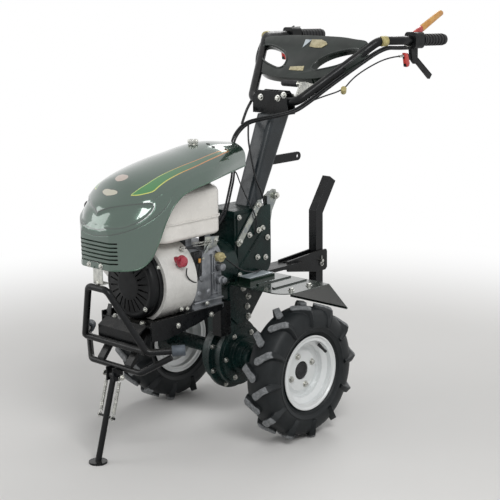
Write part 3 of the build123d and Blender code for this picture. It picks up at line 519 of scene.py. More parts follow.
PLATE_CREAM = Finish(
    "plate_cream", "zinc", "a99f7c", "c4bb99", 0.01, (0.28, 0.4), 0.3, grain_size=0.002,
    grain_depth=0.00002, edge=0.0008)
CAP_BLUE_GREY = Finish(
    "cap_blue_grey", "rubber", "3d444c", "525a62", 0.02, (0.45, 0.6), specular=0.4, grain_size=0.0012,
    grain_depth=0.00005, edge=0.002)
EXHAUST_BLACK = CastFinish(
    "exhaust_black", "black_paint", "17181a", "26262a", 0.02, (0.45, 0.62), 0.3, grain_size=0.0016,
    grain_depth=0.0001, edge=0.0015, wear=0.3, wear_colour="57514a")


class Shop:
    """Keeps one material for each finish and dresses pieces with it."""

    made: dict[str, bpy.types.Material] = {}

    @classmethod
    def material(cls, finish: Finish) -> bpy.types.Material:
        """Material of a finish, made once."""
        if finish.name not in cls.made:
            cls.made[finish.name] = finish.make()
        return cls.made[finish.name]

    @classmethod
    def dress(cls, finish: Finish, *names: str) -> None:
        """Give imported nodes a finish.

        Args:
            finish: finish to lay on them.
            names: names of the nodes.
        """
        for name in names:
            node = NODES[name]
            node.data.materials.clear()
            node.data.materials.append(cls.material(finish))
            LOG.info("%s dressed in %s", name, finish.name)

    @classmethod
    def joined(cls, name: str, parts: Sequence[Piece], finish: Finish, body: Body = Body.ROOT,
               smooth: float = 35.0) -> Piece:
        """Join parts into one piece and finish it."""
        return cls.hand_over(Bench.join(name, parts), finish, body, smooth)

    @classmethod
    def hand_over(cls, piece: Piece, finish: Finish, body: Body, smooth: float = 35.0) -> Piece:
        """Finish a new piece: place in its mesh, smooth shading, material and body.

        Args:
            piece: the new piece.
            finish: its finish.
            body: body that it moves with.
            smooth: largest angle in degrees that is shaded smooth.

        Returns:
            The piece.
        """
        piece.data.transform(piece.matrix_world)
        piece.matrix_world = Matrix.Identity(4)
        Bench.pick(piece)
        bpy.ops.object.shade_smooth_by_angle(angle=math.radians(smooth))
        piece.data.materials.clear()
        piece.data.materials.append(cls.material(finish))
        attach(piece, body.value)
        LOG.info("%s made on %s", piece.name, body.value)
        return piece


# Modelling moves


class Bench:
    """Modelling moves that all sub-assemblies share."""

    @staticmethod
    def clear() -> None:
        """Leave nothing selected."""
        if bpy.context.object and bpy.context.object.mode != "OBJECT":
            bpy.ops.object.mode_set(mode="OBJECT")
        bpy.ops.object.select_all(action="DESELECT")

    @staticmethod
    def pick(piece: Piece) -> None:
        """Select one piece alone."""
        Bench.clear()
        piece.select_set(True)
        bpy.context.view_layer.objects.active = piece

    @staticmethod
    def named(name: str) -> Piece:
        """Name the piece that was just added."""
        piece = bpy.context.object
        piece.name = name
        piece.data.name = name
        return piece

    @staticmethod
    def link(piece: Piece) -> None:
        """Put a piece into the scene."""
        bpy.context.scene.collection.objects.link(piece)

    @staticmethod
    def choose(piece: Piece, kind: str, test: Callable[[object], bool] = lambda element: True) -> None:
        """Select in edit mode the faces or vertices that pass a test, and stay in edit mode.

        Args:
            piece: piece to work on.
            kind: FACE or VERT.
            test: says whether an element is wanted; all are without it.
        """
        Bench.pick(piece)
        bpy.ops.object.mode_set(mode="EDIT")
        bpy.ops.mesh.select_mode(type=kind)
        bpy.ops.mesh.select_all(action="DESELECT")
        bpy.ops.object.mode_set(mode="OBJECT")
        for element in piece.data.polygons if kind == "FACE" else piece.data.vertices:
            element.select = bool(test(element))
        bpy.ops.object.mode_set(mode="EDIT")

    @staticmethod
    def done() -> None:
        """Back to object mode."""
        bpy.ops.object.mode_set(mode="OBJECT")

    @staticmethod
    def outward(piece: Piece) -> None:
        """Turn every face of a piece outwards."""
        Bench.choose(piece, "FACE")
        bpy.ops.mesh.normals_make_consistent(inside=False)
        Bench.done()

    @staticmethod
    def cut(piece: Piece, cutter: Piece) -> None:
        """Cut a piece with another one and remove that one."""
        Bench.apply(piece, "BOOLEAN", operation="DIFFERENCE", object=cutter, solver="EXACT")
        bpy.data.objects.remove(cutter)

    @staticmethod
    def apply(piece: Piece, kind: str, **settings: object) -> None:
        """Add a modifier with its settings and apply it."""
        Bench.pick(piece)
        modifier = piece.modifiers.new(kind.title(), kind)
        for key, value in settings.items():
            setattr(modifier, key, value)
        bpy.ops.object.modifier_apply(modifier=modifier.name)

    @staticmethod
    def round_edges(piece: Piece, width: float, segments: int = 2, angle: float = 40.0) -> None:
        """Bevel every edge sharper than the angle."""
        Bench.apply(piece, "BEVEL", width=width, segments=segments, limit_method="ANGLE",
                    angle_limit=math.radians(angle), use_clamp_overlap=True)

    @staticmethod
    def turn_to(direction: Vector) -> Matrix:
        """Rotation that takes +Z to a direction."""
        return direction.to_track_quat("Z", "Y").to_matrix().to_4x4()

    @staticmethod
    def drum(name: str, start: Vector, end: Vector, radius: float, sides: int = 32, bevel: float = 0.0,
             end_radius: Optional[float] = None) -> Piece:
        """Round or many-sided bar between two points.

        Args:
            name: name of the piece.
            start: centre of one end.
            end: centre of the other end.
            radius: radius at the start in metres.
            sides: number of sides.
            bevel: width of the rounding at its ends.
            end_radius: radius at the end where it tapers.

        Returns:
            The bar.
        """
        Bench.clear()
        along = end - start
        far = radius if end_radius is None else end_radius
        bpy.ops.mesh.primitive_cone_add(vertices=sides, radius1=radius, radius2=far, depth=along.length)
        piece = Bench.named(name)
        piece.data.transform(Matrix.Translation((start + end) / 2) @ Bench.turn_to(along))
        if bevel:
            Bench.round_edges(piece, bevel)
        return piece

    @staticmethod
    def slab(name: str, low: Vector, high: Vector, bevel: float = 0.0, segments: int = 2) -> Piece:
        """Box between two corners with rounded edges."""
        Bench.clear()
        bpy.ops.mesh.primitive_cube_add(size=1.0)
        piece = Bench.named(name)
        size = high - low
        piece.data.transform(Matrix.Translation((low + high) / 2) @ Matrix.Diagonal((*size, 1.0)))
        if bevel:
            Bench.round_edges(piece, bevel, segments)
        return piece

    @staticmethod
    def lathe(name: str, profile: Sequence[Pair], centre: Vector, axis: Vector, steps: int = 48) -> Piece:
        """Ring or disc spun from a closed outline.

        Args:
            name: name of the piece.
            profile: closed outline as (along the axis, radius) in metres.
            centre: point on the axis where "along" is 0.
            axis: direction of the axis.
            steps: number of steps round.

        Returns:
            The spun piece.
        """
        Bench.clear()
        bpy.ops.mesh.primitive_circle_add(vertices=len(profile), radius=1.0, fill_type="NOTHING")
        piece = Bench.named(name)
        for vertex, (along, radius) in zip(piece.data.vertices, profile):
            vertex.co = (radius, 0.0, along)
        Bench.choose(piece, "VERT")
        bpy.ops.mesh.spin(steps=steps, angle=math.tau, center=(0, 0, 0), axis=(0, 0, 1))
        bpy.ops.mesh.select_all(action="SELECT")
        bpy.ops.mesh.remove_doubles(threshold=WELD)
        Bench.outward(piece)
        piece.data.transform(Matrix.Translation(centre) @ Bench.turn_to(axis))
        return piece

    @staticmethod
    def copies(piece: Piece, places: Iterable[Matrix]) -> list[Piece]:
        """One copy with its own mesh for each place, and the model removed."""
        made = []
        for place in places:
            twin = piece.copy()
            twin.data = piece.data.copy()
            twin.data.transform(place)
            Bench.link(twin)
            made.append(twin)
        bpy.data.objects.remove(piece)
        return made

    @staticmethod
    def join(name: str, parts: Sequence[Piece]) -> Piece:
        """Join parts into one piece."""
        Bench.clear()
        for part in parts:
            part.select_set(True)
        bpy.context.view_layer.objects.active = parts[0]
        if len(parts) > 1:
            bpy.ops.object.join()
        return Bench.named(name)

    @staticmethod
    def plate(name: str, outline: Sequence[Point], thick: Point, bevel: float = 0.0,
              segments: int = 2) -> Piece:
        """Flat plate from a closed outline, thickened along a vector.

        Args:
            name: name of the piece.
            outline: corners in machine millimetres.
            thick: thickness in millimetres, as a vector.
            bevel: width of the rounding in metres.
            segments: steps of the rounding.

        Returns:
            The plate.
        """
        Bench.clear()
        bpy.ops.mesh.primitive_circle_add(vertices=len(outline), radius=1.0, fill_type="NGON")
        piece = Bench.named(name)
        for vertex, corner in zip(piece.data.vertices, route(outline)):
            vertex.co = corner
        Bench.choose(piece, "FACE")
        bpy.ops.mesh.extrude_region_move(TRANSFORM_OT_translate={"value": Vector(thick) / 1000})
        Bench.outward(piece)
        if bevel:
            Bench.round_edges(piece, bevel, segments)
        return piece

    @staticmethod
    def side_plate(name: str, x: float, outline: Sequence[Pair], thick: float, bevel: float,
                   segments: int = 2) -> Piece:
        """Plate square to X from its outline as (Y, Z), thickened along X."""
        return Bench.plate(name, [(x, y, z) for y, z in outline], (thick, 0, 0), bevel, segments)

    @staticmethod
    def coil(name: str, start: Vector, end: Vector, radius: float, wire: float, turns: int) -> Piece:
        """Wound spring between two points."""
        along = end - start
        turn_to = Bench.turn_to(along)
        points = []
        steps = turns * 8
        for step in range(steps + 1):
            angle = step / 8 * math.tau
            spot = Vector((math.cos(angle) * radius, math.sin(angle) * radius, along.length * step / steps))
            points.append(start + turn_to @ spot)
        return Bench.tube(name, points, wire / 2, 1, 4)

    @staticmethod
    def tube(name: str, points: Sequence[Vector], radius: float, sides: int = 3, order: int = 3) -> Piece:
        """Round tube along a smooth line.

        Args:
            name: name of the piece.
            points: control points of the line.
            radius: radius in metres.
            sides: fineness of the round section.
            order: smoothness of the line.

        Returns:
            The tube as a mesh.
        """
        Bench.clear()
        data = bpy.data.curves.new(name, "CURVE")
        data.dimensions = "3D"
        data.bevel_depth = radius
        data.bevel_resolution = sides
        data.use_fill_caps = True
        data.resolution_u = 8
        course = data.splines.new("NURBS")
        course.points.add(len(points) - 1)
        for knot, point in zip(course.points, points):
            knot.co = (*point, 1.0)
        course.order_u = order
        course.use_endpoint_u = True
        line = bpy.data.objects.new(name, data)
        Bench.link(line)
        Bench.pick(line)
        bpy.ops.object.convert(target="MESH")
        return Bench.named(name)


@dataclass
class Fastener:
    """Hexagon bolt with its washer, modelled once and set wherever it is used."""

    flats: float = 0.0105
    head: float = 0.0048
    washer: float = 0.0088
    thick: float = 0.0014

    def model(self) -> Piece:
        """Bolt head and washer standing on the origin along +Z.

        Returns:
            The joined bolt.
        """
        radius = self.flats / 2 / math.cos(math.pi / 6)
        foot, seat, top = (Vector((0, 0, z)) for z in (-0.001, self.thick, self.thick + self.head))
        washer = Bench.drum("washer", foot, seat, self.washer, 24, 0.0003)
        head = Bench.drum("head", seat, top, radius, 6)
        Bench.choose(head, "FACE", lambda f: f.normal.z > 0.9)
        bpy.ops.mesh.inset(thickness=radius * 0.22)
        bpy.ops.transform.translate(value=(0, 0, 0.0005))
        Bench.done()
        Bench.round_edges(head, 0.0004, 1)
        return Bench.join("bolt", [washer, head])

    def set_at(self, name: str, body: Body, spots: Sequence[Spot]) -> None:
        """Set bolts at their spots as one piece, each turned a little at random.

        Args:
            name: name of the piece, and seed of the turns.
            body: body that carries them.
            spots: place in millimetres and outward direction of each bolt.
        """
        turn = random.Random(name)
        places = []
        for spot, out in spots:
            spin = Matrix.Rotation(turn.uniform(0, 1), 4, "Z")
            places.append(Matrix.Translation(at(*spot)) @ Bench.turn_to(Vector(out)) @ spin)
        Shop.joined(name, Bench.copies(self.model(), places), BRIGHT_ZINC, body)


LARGE_BOLT = Fastener(0.013, 0.006, 0.0105)
SMALL_SCREW = Fastener(0.009, 0.004, 0.0075)


class SmoothLine:
    """Smooth line through (place, value) points that never overshoots between them."""

    def __init__(self, points: Sequence[Pair]) -> None:
        """Work out the slope at each point.

        Args:
            points: place and value of each point, in order of place.
        """
        self.places, self.values = zip(*points)
        steps = [b - a for a, b in zip(self.places, self.places[1:])]
        rises = [(b - a) / step for a, b, step in zip(self.values, self.values[1:], steps)]
        self.slopes = [rises[0]]
        for step, after, rise, following in zip(steps, steps[1:], rises, rises[1:]):
            flat = rise * following <= 0
            weight = 1.0 if flat else (2 * after + step) / rise + (after + 2 * step) / following
            self.slopes.append(0.0 if flat else 3 * (step + after) / weight)
        self.slopes.append(rises[-1])

    def __call__(self, place: float) -> float:
        """Value at a place."""
        last = len(self.places) - 2
        i = max([n for n in range(last + 1) if self.places[n] <= place] or [0])
        step = self.places[i + 1] - self.places[i]
        t = min(max((place - self.places[i]) / step, 0.0), 1.0)
        keep = 2 * t ** 3 - 3 * t ** 2 + 1
        bend = (t ** 3 - 2 * t ** 2 + t) * self.slopes[i] + (t ** 3 - t ** 2) * self.slopes[i + 1]
        return keep * self.values[i] + (1 - keep) * self.values[i + 1] + step * bend


class Marks:
    """Signed distances from drawn lines, stored on the points of a piece."""

    MIDDLE: Point = (0.0, AXLE_SHIFT - 0.25, 0.7)
    SEARCH: float = 0.05

    @staticmethod
    def smooth(points: Sequence[Point], steps: int = 6) -> np.ndarray:
        """Rounded line through points in machine millimetres, as scene metres."""
        knots = [np.array(at(*point)) for point in (points[0], *points, points[-1])]
        line = []
        for four in zip(knots, knots[1:], knots[2:], knots[3:]):
            line += [spline(*four, n / steps) for n in range(steps)]
        return np.array(line + [knots[-1]])

    @staticmethod
    def measure(piece: Piece, points: Sequence[Point]) -> tuple[np.ndarray, ...]:
        """Find how far each point of a piece is from a line, alike on both sides.

        Args:
            piece: thin shell around the middle of the hood.
            points: line on the left half; its left seen from outside is positive.

        Returns:
            Signed distance, distance past the line's ends, outward direction, and which points are on the
            inner face.
        """
        count = len(piece.data.vertices)
        spots, normals = np.empty(count * 3), np.empty(count * 3)
        piece.data.vertices.foreach_get("co", spots)
        piece.data.vertices.foreach_get("normal", normals)
        spots, normals = spots.reshape(-1, 3), normals.reshape(-1, 3)
        inner = np.einsum("ij,ij->i", spots - np.array(Marks.MIDDLE), normals) < 0
        outward = normals * np.where(inner, -1.0, 1.0)[:, None]
        half = np.sign(spots[:, :1] + 1e-9)
        spots = np.hstack([spots[:, :1] * half, spots[:, 1:]])
        normals = np.hstack([outward[:, :1] * half, outward[:, 1:]])
        best, signed, past = np.full(count, FAR_AWAY), np.full(count, FAR_AWAY), np.zeros(count)
        line = Marks.smooth(points)
        last = len(line) - 2
        for number, (start, end) in enumerate(zip(line, line[1:])):
            run = end - start
            share = (spots - start) @ run / max(run @ run, 1e-12)
            over = np.where(number == 0, -share, 0) + np.where(number == last, share - 1, 0)
            over = np.clip(over, 0, None) * math.sqrt(run @ run)
            share = np.clip(share, 0, 1)
            gap = spots - start - share[:, None] * run
            size = np.linalg.norm(gap, axis=1)
            side = np.sign(np.einsum("ij,ij->i", np.cross(np.broadcast_to(run, gap.shape), gap), normals))
            flat = np.linalg.norm(gap - np.einsum("ij,ij->i", gap, normals)[:, None] * normals, axis=1)
            nearer = size < best
            best, signed = np.where(nearer, size, best), np.where(nearer, flat * side, signed)
            past = np.where(nearer, over, past)
        signed[best > Marks.SEARCH] = FAR_AWAY
        return signed, past, outward, inner

    @staticmethod
    def press(piece: Piece, points: Sequence[Point], depth: float, edge: float) -> None:
        """Sink the shell to the right of a closed line.

        Args:
            piece: thin shell.
            points: line on the left half.
            depth: how deep the sunk part lies.
            edge: width of the slope along the line.
        """
        signed, _, outward, _ = Marks.measure(piece, points)
        sunk = np.clip(-signed / edge, 0.0, 1.0)
        sunk = sunk * sunk * (3 - 2 * sunk) * depth
        spots = np.empty(len(sunk) * 3)
        piece.data.vertices.foreach_get("co", spots)
        piece.data.vertices.foreach_set("co", (spots.reshape(-1, 3) - outward * sunk[:, None]).ravel())
        piece.data.update()

    @staticmethod
    def lay(piece: Piece, name: str, points: Sequence[Point]) -> None:
        """Store the distances from a line on the points of a piece.

        Args:
            piece: piece that carries the mark.
            name: name of the mark.
            points: line on the left half; its left seen from outside is positive.
        """
        signed, past, _, inner = Marks.measure(piece, points)
        signed[inner] = FAR_AWAY
        for title, values in ((name, signed), (f"{name}_past", past)):
            mark = piece.data.attributes.new(title, "FLOAT", "POINT")
            mark.data.foreach_set("value", values.astype(np.float32))


# Running gear


@dataclass
class DriveWheel:
    """Lugged tyre, rim, hub and half axle of one side."""

    side: Side
    centre_x: float = 285.0
    outer_radius: float = 208.0
    crown_radius: float = 196.0
    lug_count: int = 12
    first_lug: float = 69.25
    lug_length: float = 80.0
    lug_head: float = 10.5
    lug_foot: float = 1.28
    disc_face: float = 7.0
    bolt_circle: float = 50.0
    valve_x: float = 27.0
    valve_radius: float = 0.092
    valve_turn: float = -38.0
    under_lugs: tuple[Pair, ...] = (
        (0, 196), (11.8, 195.6), (23.6, 194), (35.3, 190.6), (42.9, 185.5), (48.4, 176), (52.2, 163),
        (53, 150))
    outer_wall: tuple[Pair, ...] = (
        (0, 196), (11.8, 195.6), (23.6, 194), (35.3, 190.6), (42.9, 185.5), (48.4, 176), (51.4, 167),
        (52.7, 158), (53, 150), (52.4, 143.5), (53.2, 142.6), (53.2, 140.8), (52, 140), (50, 134),
        (47.6, 129.5), (48.4, 128.2), (47.6, 126.6), (45.2, 126), (41.5, 121), (38.2, 117), (38, 112),
        (38, 102.5))
    inner_wall: tuple[Pair, ...] = (
        (30, 102.5), (30, 120), (44, 138), (44.5, 152), (40, 174), (30, 181), (0, 187))
    lug_line: tuple[tuple[float, ...], ...] = (
        (-5, -3.5, 10.5, 208), (3.4, -1, 10.5, 208), (12.6, 5, 9.6, 208), (23.6, 13.5, 8.8, 208),
        (33.7, 20.5, 8.8, 208), (41.2, 25, 9, 206.8), (47.5, 28.5, 9.6, 201), (52.2, 31.5, 9.6, 187),
        (55, 33.5, 9, 168))
    hub_mouth: tuple[Pair, ...] = (
        (0.0, 0.0255), (0.0040, 0.0255), (0.0055, 0.0240), (0.0055, 0.0185), (0.0045, 0.0175), (0.0042, 0.0))

    def carcass_radius(self, x: float) -> float:
        """Radius of the carcass at a distance from its middle, in millimetres."""
        x = abs(x)
        for (x0, r0), (x1, r1) in zip(self.under_lugs, self.under_lugs[1:]):
            if x <= x1:
                return r0 + (r1 - r0) * (x - x0) / (x1 - x0)
        return self.under_lugs[-1][1]

    def carcass(self) -> Piece:
        """Body of the tyre with bead lips and ribs on its walls.

        Returns:
            The spun carcass.
        """
        far_inner = [(-x, r) for x, r in reversed(self.inner_wall[:-1])]
        far_outer = [(-x, r) for x, r in reversed(self.outer_wall[1:])]
        outline = [*self.outer_wall, *self.inner_wall, *far_inner, *far_outer]
        metres = [(x / 1000, r / 1000) for x, r in outline]
        return Bench.lathe("carcass", metres, Vector(), Vector((1, 0, 0)), 120)

    def lug_point(self, along: float, across: float, top: bool) -> Point:
        """Point of a lug at the top of the wheel.

        Args:
            along: share of the way from the head to the foot.
            across: from -1 to 1 over the width.
            top: whether it lies on the tread face or on the carcass.

        Returns:
            The point in metres around the wheel's centre.
        """
        last = len(self.lug_line) - 2
        place = along * (last + 1)
        i = min(int(place), last)
        here, following = self.lug_line[i], self.lug_line[i + 1]
        x, s, width, height = (a + (b - a) * (place - i) for a, b in zip(here, following))
        lead = along * self.lug_length
        if lead < self.lug_head:
            width = math.sqrt(max(self.lug_head ** 2 - (self.lug_head - lead) ** 2, 6.0))
        reach = across * width * (1.0 if top else self.lug_foot)
        tangent = Vector((following[0] - here[0], following[1] - here[1])).normalized()
        x -= tangent.y * reach
        s += tangent.x * reach
        radius = height if top else self.carcass_radius(x) - 3.0
        turn = s / self.crown_radius
        return x / 1000, math.sin(turn) * radius / 1000, math.cos(turn) * radius / 1000

    def lug(self) -> Piece:
        """One lug of the outer row: round head near the middle, bar curving down the shoulder.

        Returns:
            The lug at the top of the wheel.
        """
        Bench.clear()
        bpy.ops.mesh.primitive_grid_add(x_subdivisions=32, y_subdivisions=8, size=2.0)
        piece = Bench.named("lug")
        Bench.choose(piece, "FACE")
        bpy.ops.mesh.extrude_region_move(TRANSFORM_OT_translate={"value": (0, 0, 1)})
        Bench.done()
        for vertex in piece.data.vertices:
            vertex.co = self.lug_point((vertex.co.x + 1) / 2, vertex.co.y, vertex.co.z > 0.5)
        Bench.outward(piece)
        Bench.round_edges(piece, 0.0018, 3, 50.0)
        return piece

    def tyre(self) -> None:
        """Carcass with two staggered rows of lugs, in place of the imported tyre."""
        lug = self.lug()
        pitch = math.tau / self.lug_count
        first = math.radians(self.first_lug)
        same, mirror = Matrix.Identity(4), Matrix.Diagonal((-1, 1, 1, 1))
        rows = [Matrix.Rotation(first + (step + lag) * pitch, 4, "X") @ flip
                for lag, flip in ((0.0, same), (0.5, mirror)) for step in range(self.lug_count)]
        tyre = Bench.join(f"tyre_{self.side.word}_tread", [self.carcass()] + Bench.copies(lug, rows))
        if self.side is Side.RIGHT:
            tyre.data.transform(mirror)
        Bench.outward(tyre)
        tyre.data.transform(Matrix.Translation(at(self.side.value * self.centre_x, 0, self.outer_radius)))
        Shop.hand_over(tyre, TYRE_BLACK, self.side.wheel, 40)
        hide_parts(f"tyre_{self.side.word}")

    def wheel_bolts(self) -> None:
        """Four bolts through the disc, seen from outside."""
        out = self.side.value
        x = out * (self.centre_x + self.disc_face)
        spots = [((x, -y, self.outer_radius + z), (out, 0, 0)) for y, z in ring(self.bolt_circle, 4, 20)]
        Fastener(0.013, 0.0055, 0.0105).set_at(f"wheel_bolts_{self.side.word}", self.side.wheel, spots)

    def valve(self) -> None:
        """Black rubber valve with its cap in the well of the rim."""
        out = self.side.value
        turn = math.radians(self.valve_turn)
        radial = Vector((0, -math.sin(turn), math.cos(turn)))
        base = at(out * (self.centre_x + self.valve_x), 0, self.outer_radius) + radial * self.valve_radius
        tip = base + Vector((out * 0.028, 0, 0)) - radial * 0.012
        body = Bench.drum("stem", base, tip, 0.0055, 20, 0.0008, 0.0038)
        cap = Bench.drum("cap", tip, tip + (tip - base) * 0.32, 0.0046, 12, 0.0006)
        Shop.joined(f"valve_{self.side.word}", [body, cap], GRIP_RUBBER, self.side.wheel)

    def hub_ring(self) -> None:
        """Black ring with a deep mouth in the middle of the disc."""
        out = self.side.value
        centre = at(out * (self.centre_x + 2.5), 0, self.outer_radius)
        mouth = Bench.lathe("mouth", self.hub_mouth, centre, Vector((out, 0, 0)))
        Shop.joined(f"hub_ring_{self.side.word}", [mouth], EXHAUST_BLACK, self.side.wheel)

    def build(self) -> None:
        """Make and dress the wheel."""
        word = self.side.word
        Shop.dress(TYRE_BLACK, f"tyre_{word}")
        Shop.dress(RIM_SILVER, f"rim_{word}")
        Shop.dress(CASTING_GREEN, f"hub_{word}")
        Shop.dress(BRIGHT_ZINC, f"axle_{word}")
        self.tyre()
        self.wheel_bolts()
        self.valve()
        self.hub_ring()


@dataclass
class Transmission:
    """Final drive case, gearbox, cone and what is bolted to them."""

    axle_z: float = 208.0
    case_ring: float = 103.0
    drum_ring: float = 76.0
    gearbox_half: float = 60.0
    cover_bolts: tuple[Pair, ...] = ((-28, 474), (-28, 655), (40, 655))

    def build(self) -> None:
        """Dress the castings and add the bolts of the case flange, the drum and the gearbox covers."""
        Shop.dress(CASTING_GREEN, "gear_case", "fender_bracket_left", "fender_bracket_right")
        Shop.dress(GEARBOX_GREEN, "gearbox", "bell_housing")
        Shop.dress(SHIFT_ZINC, "shift_bar", "selector_plate")
        spots = facing((1, 0, 0), [(6, y, self.axle_z + z) for y, z in ring(self.case_ring, 8, 22.5)])
        pairs = [(46, y, self.axle_z + z) for y, z in ring(self.drum_ring, 6, 30)]
        pairs += [(self.gearbox_half + 4, y, z) for y, z in self.cover_bolts]
        for x, y, z in pairs:
            for side in (1, -1):
                spots.append(((side * x, y, z), (side, 0, 0)))
        Fastener().set_at("case_bolts", Body.ROOT, spots)


@dataclass
class Engine:
    """Open engine with its tank, shroud, starter and cleaner."""

    crank_z: float = 508.0
    side_x: float = 95.0
    cover: tuple[Pair, ...] = (
        (-258, 440), (-206, 436), (-190, 452), (-190, 566), (-204, 580), (-240, 584), (-258, 566))
    ribs: tuple[Point, ...] = ((-182, 446, 572), (-173, 462, 560), (-160, 446, 486))
    shelves: tuple[float, ...] = (452, 514)
    bosses: tuple[tuple[float, ...], ...] = (
        (-152, 529, 13, 22), (-152, 489, 15, 16), (-226, 512, 17, 11), (-240, 462, 8, 10), (-240, 566, 8, 10),
        (-200, 462, 8, 9))
    bracket: tuple[Pair, ...] = ((-212, 586), (-160, 592), (-148, 622), (-206, 628))
    arm: tuple[Pair, ...] = ((-228, 566), (-220, 562), (-180, 612), (-186, 618))
    rod: tuple[Point, ...] = ((103, -184, 608), (104, -220, 606), (103, -262, 610))
    wires: tuple[tuple[Point, ...], ...] = (
        ((118, -303, 553), (122, -312, 540), (122, -303, 524), (119, -282, 509), (116, -262, 502),
         (112, -249, 515), (110, -247, 545), (108, -252, 566)),
        ((106, -256, 560), (112, -262, 572), (114, -258, 582), (112, -243, 588), (108, -246, 600),
         (104, -268, 606), (98, -290, 608)),
        ((106, -252, 520), (114, -250, 532), (115, -246, 552), (110, -238, 572), (102, -226, 580)))
    rim: tuple[Pair, ...] = ((0.0, 0.101), (0.010, 0.101), (0.013, 0.104), (0.010, 0.1065), (0.0, 0.1065))
    side_screws: tuple[Point, ...] = ((92, -304, 426), (92, -280, 422), (97, -163, 611), (105, -211, 427))
    hose: tuple[Point, ...] = ((-30, -190, 612), (-40, -196, 596), (-60, -206, 598), (-70, -214, 606))
    switch_spot: Pair = (-320, 576)

    def side_cover(self) -> None:
        """Ribbed cover, bosses and drain on the left face of the crankcase."""
        x = self.side_x
        parts = [Bench.side_plate("cover", x - 2, self.cover, 9, 0.003, 3)]
        for y, low, high in self.ribs:
            parts.append(Bench.slab("rib", at(x - 2, y - 1.6, low), at(x + 7, y + 1.6, high), 0.001))
        for z in self.shelves:
            parts.append(Bench.slab("rib", at(x - 2, -186, z - 1.6), at(x + 5, -144, z + 1.6), 0.001))
        for y, z, radius, reach in self.bosses:
            start, end = at(x - 2, y, z), at(x + reach, y, z)
            parts.append(Bench.drum("boss", start, end, radius / 1000, 36, 0.0022, radius * 0.88 / 1000))
        parts.append(Bench.drum("plug", at(x + 14, -150, 489), at(x + 26, -150, 489), 0.0105, 6, 0.001))
        parts.append(Bench.slab("ledge", at(x - 6, -262, 432), at(x + 10, -140, 438), 0.0018))
        Shop.joined("crankcase_cover", parts, BARE_ALLOY)
        cap = Bench.drum("cap", at(x - 2, -152.6, 559), at(x + 17, -152.6, 559), 0.0145, 40, 0.002)
        grip = Bench.slab("grip", at(x + 16, -165, 556), at(x + 23, -140, 562), 0.0018)
        Shop.joined("oil_cap", [cap, grip], OIL_YELLOW)

    def governor(self) -> None:
        """Bracket, lever, rod and spring of the governor under the tank."""
        plate = Bench.side_plate("bracket", 94, self.bracket, 3, 0.0012)
        flange = Bench.slab("flange", at(70, -212, 606), at(97, -150, 610), 0.0012)
        arm = Bench.side_plate("arm", 99, self.arm, 2.4, 0.0008)
        pivot = Bench.drum("pivot", at(90, -224, 566), at(106, -224, 566), 0.0045, 20, 0.0008)
        Shop.joined("governor_bracket", [plate, flange, arm, pivot], SHIFT_ZINC)
        spring = Bench.coil("spring", at(102, -183, 612), at(102, -262, 618), 0.0032, 0.0011, 26)
        rod = Bench.tube("rod", route(self.rod), 0.0011)
        Shop.joined("governor_spring", [spring, rod], BRIGHT_ZINC)

    def ignition(self) -> None:
        """Coil block, looped wires and an orange tab between the shroud and the crankcase."""
        block = Bench.slab("block", at(88, -262, 512), at(106, -228, 590), 0.004, 3)
        step = Bench.slab("step", at(90, -258, 528), at(112, -236, 556), 0.003, 3)
        wires = [Bench.tube("wire", route(wire), 0.0019) for wire in self.wires]
        Shop.joined("ignition_wires", [block, step, *wires], CABLE_BLACK)
        tab = Bench.slab("tab", at(112, -252, 560), at(116, -244, 572), 0.001)
        Shop.joined("wire_tab", [tab], LEVER_ORANGE)

    def carburettor(self) -> None:
        """Carburettor body, bowl and neck between the tank and the cylinder."""
        body = Bench.slab("body", at(-92, -250, 604), at(-52, -206, 628), 0.005, 3)
        bowl = Bench.drum("bowl", at(-72, -228, 582), at(-72, -228, 606), 0.018, 32, 0.003)
        neck = Bench.drum("neck", at(-110, -262, 618), at(-92, -238, 616), 0.014, 28, 0.002)
        Shop.joined("carburettor", [body, bowl, neck], BARE_ALLOY)

    def starter(self) -> None:
        """Rim, pull grip and screws of the starter cover, and the screws beside it."""
        rim = Bench.lathe("rim", self.rim, at(0, -385, self.crank_z), Vector((0, -1, 0)), 96)
        grip = Bench.slab("grip", at(52, -436, 566), at(86, -424, 578), 0.004, 3)
        Shop.joined("starter_ring", [rim, grip], COARSE_PLASTIC)
        spots = facing((0, -1, 0), [(x, -425, self.crank_z + z) for x, z in ring(93, 4, 42)])
        spots += [((86, -390, 565), (0.6, -0.8, 0.2)), ((84, -290, 606), (0.6, 0, 0.8))]
        spots += facing((1, 0, 0), self.side_screws)
        SMALL_SCREW.set_at("engine_screws", Body.ROOT, spots)

    def tank(self) -> None:
        """Bolts on the seam of the tank, and the fuel tap with its hose."""
        spots = facing((0, 0, -1), [(x, y, 634) for x in (-60, 68) for y in (-350, -156)])
        Fastener(0.010, 0.004, 0.008).set_at("tank_bolts", Body.ROOT, spots)
        tap = Bench.drum("tap", at(-30, -190, 606), at(-30, -190, 634), 0.009, 24, 0.001)
        hose = Bench.tube("hose", route(self.hose), 0.0036)
        Shop.joined("fuel_tap", [tap, hose], CABLE_BLACK)

    def switch(self) -> None:
        """Round red switch on its boss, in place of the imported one."""
        y, z = self.switch_spot
        boss = Bench.drum("boss", at(88, y, z), at(112, y, z), 0.0115, 36, 0.001)
        button = Bench.drum("button", at(110, y, z), at(126.5, y, z), 0.0168, 48, 0.004, 0.0158)
        lip = Bench.drum("lip", at(110, y, z), at(116, y, z), 0.0185, 48, 0.0015)
        switch = Shop.joined("round_switch", [boss, button, lip], SIGNAL_RED)
        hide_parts("stop_switch")

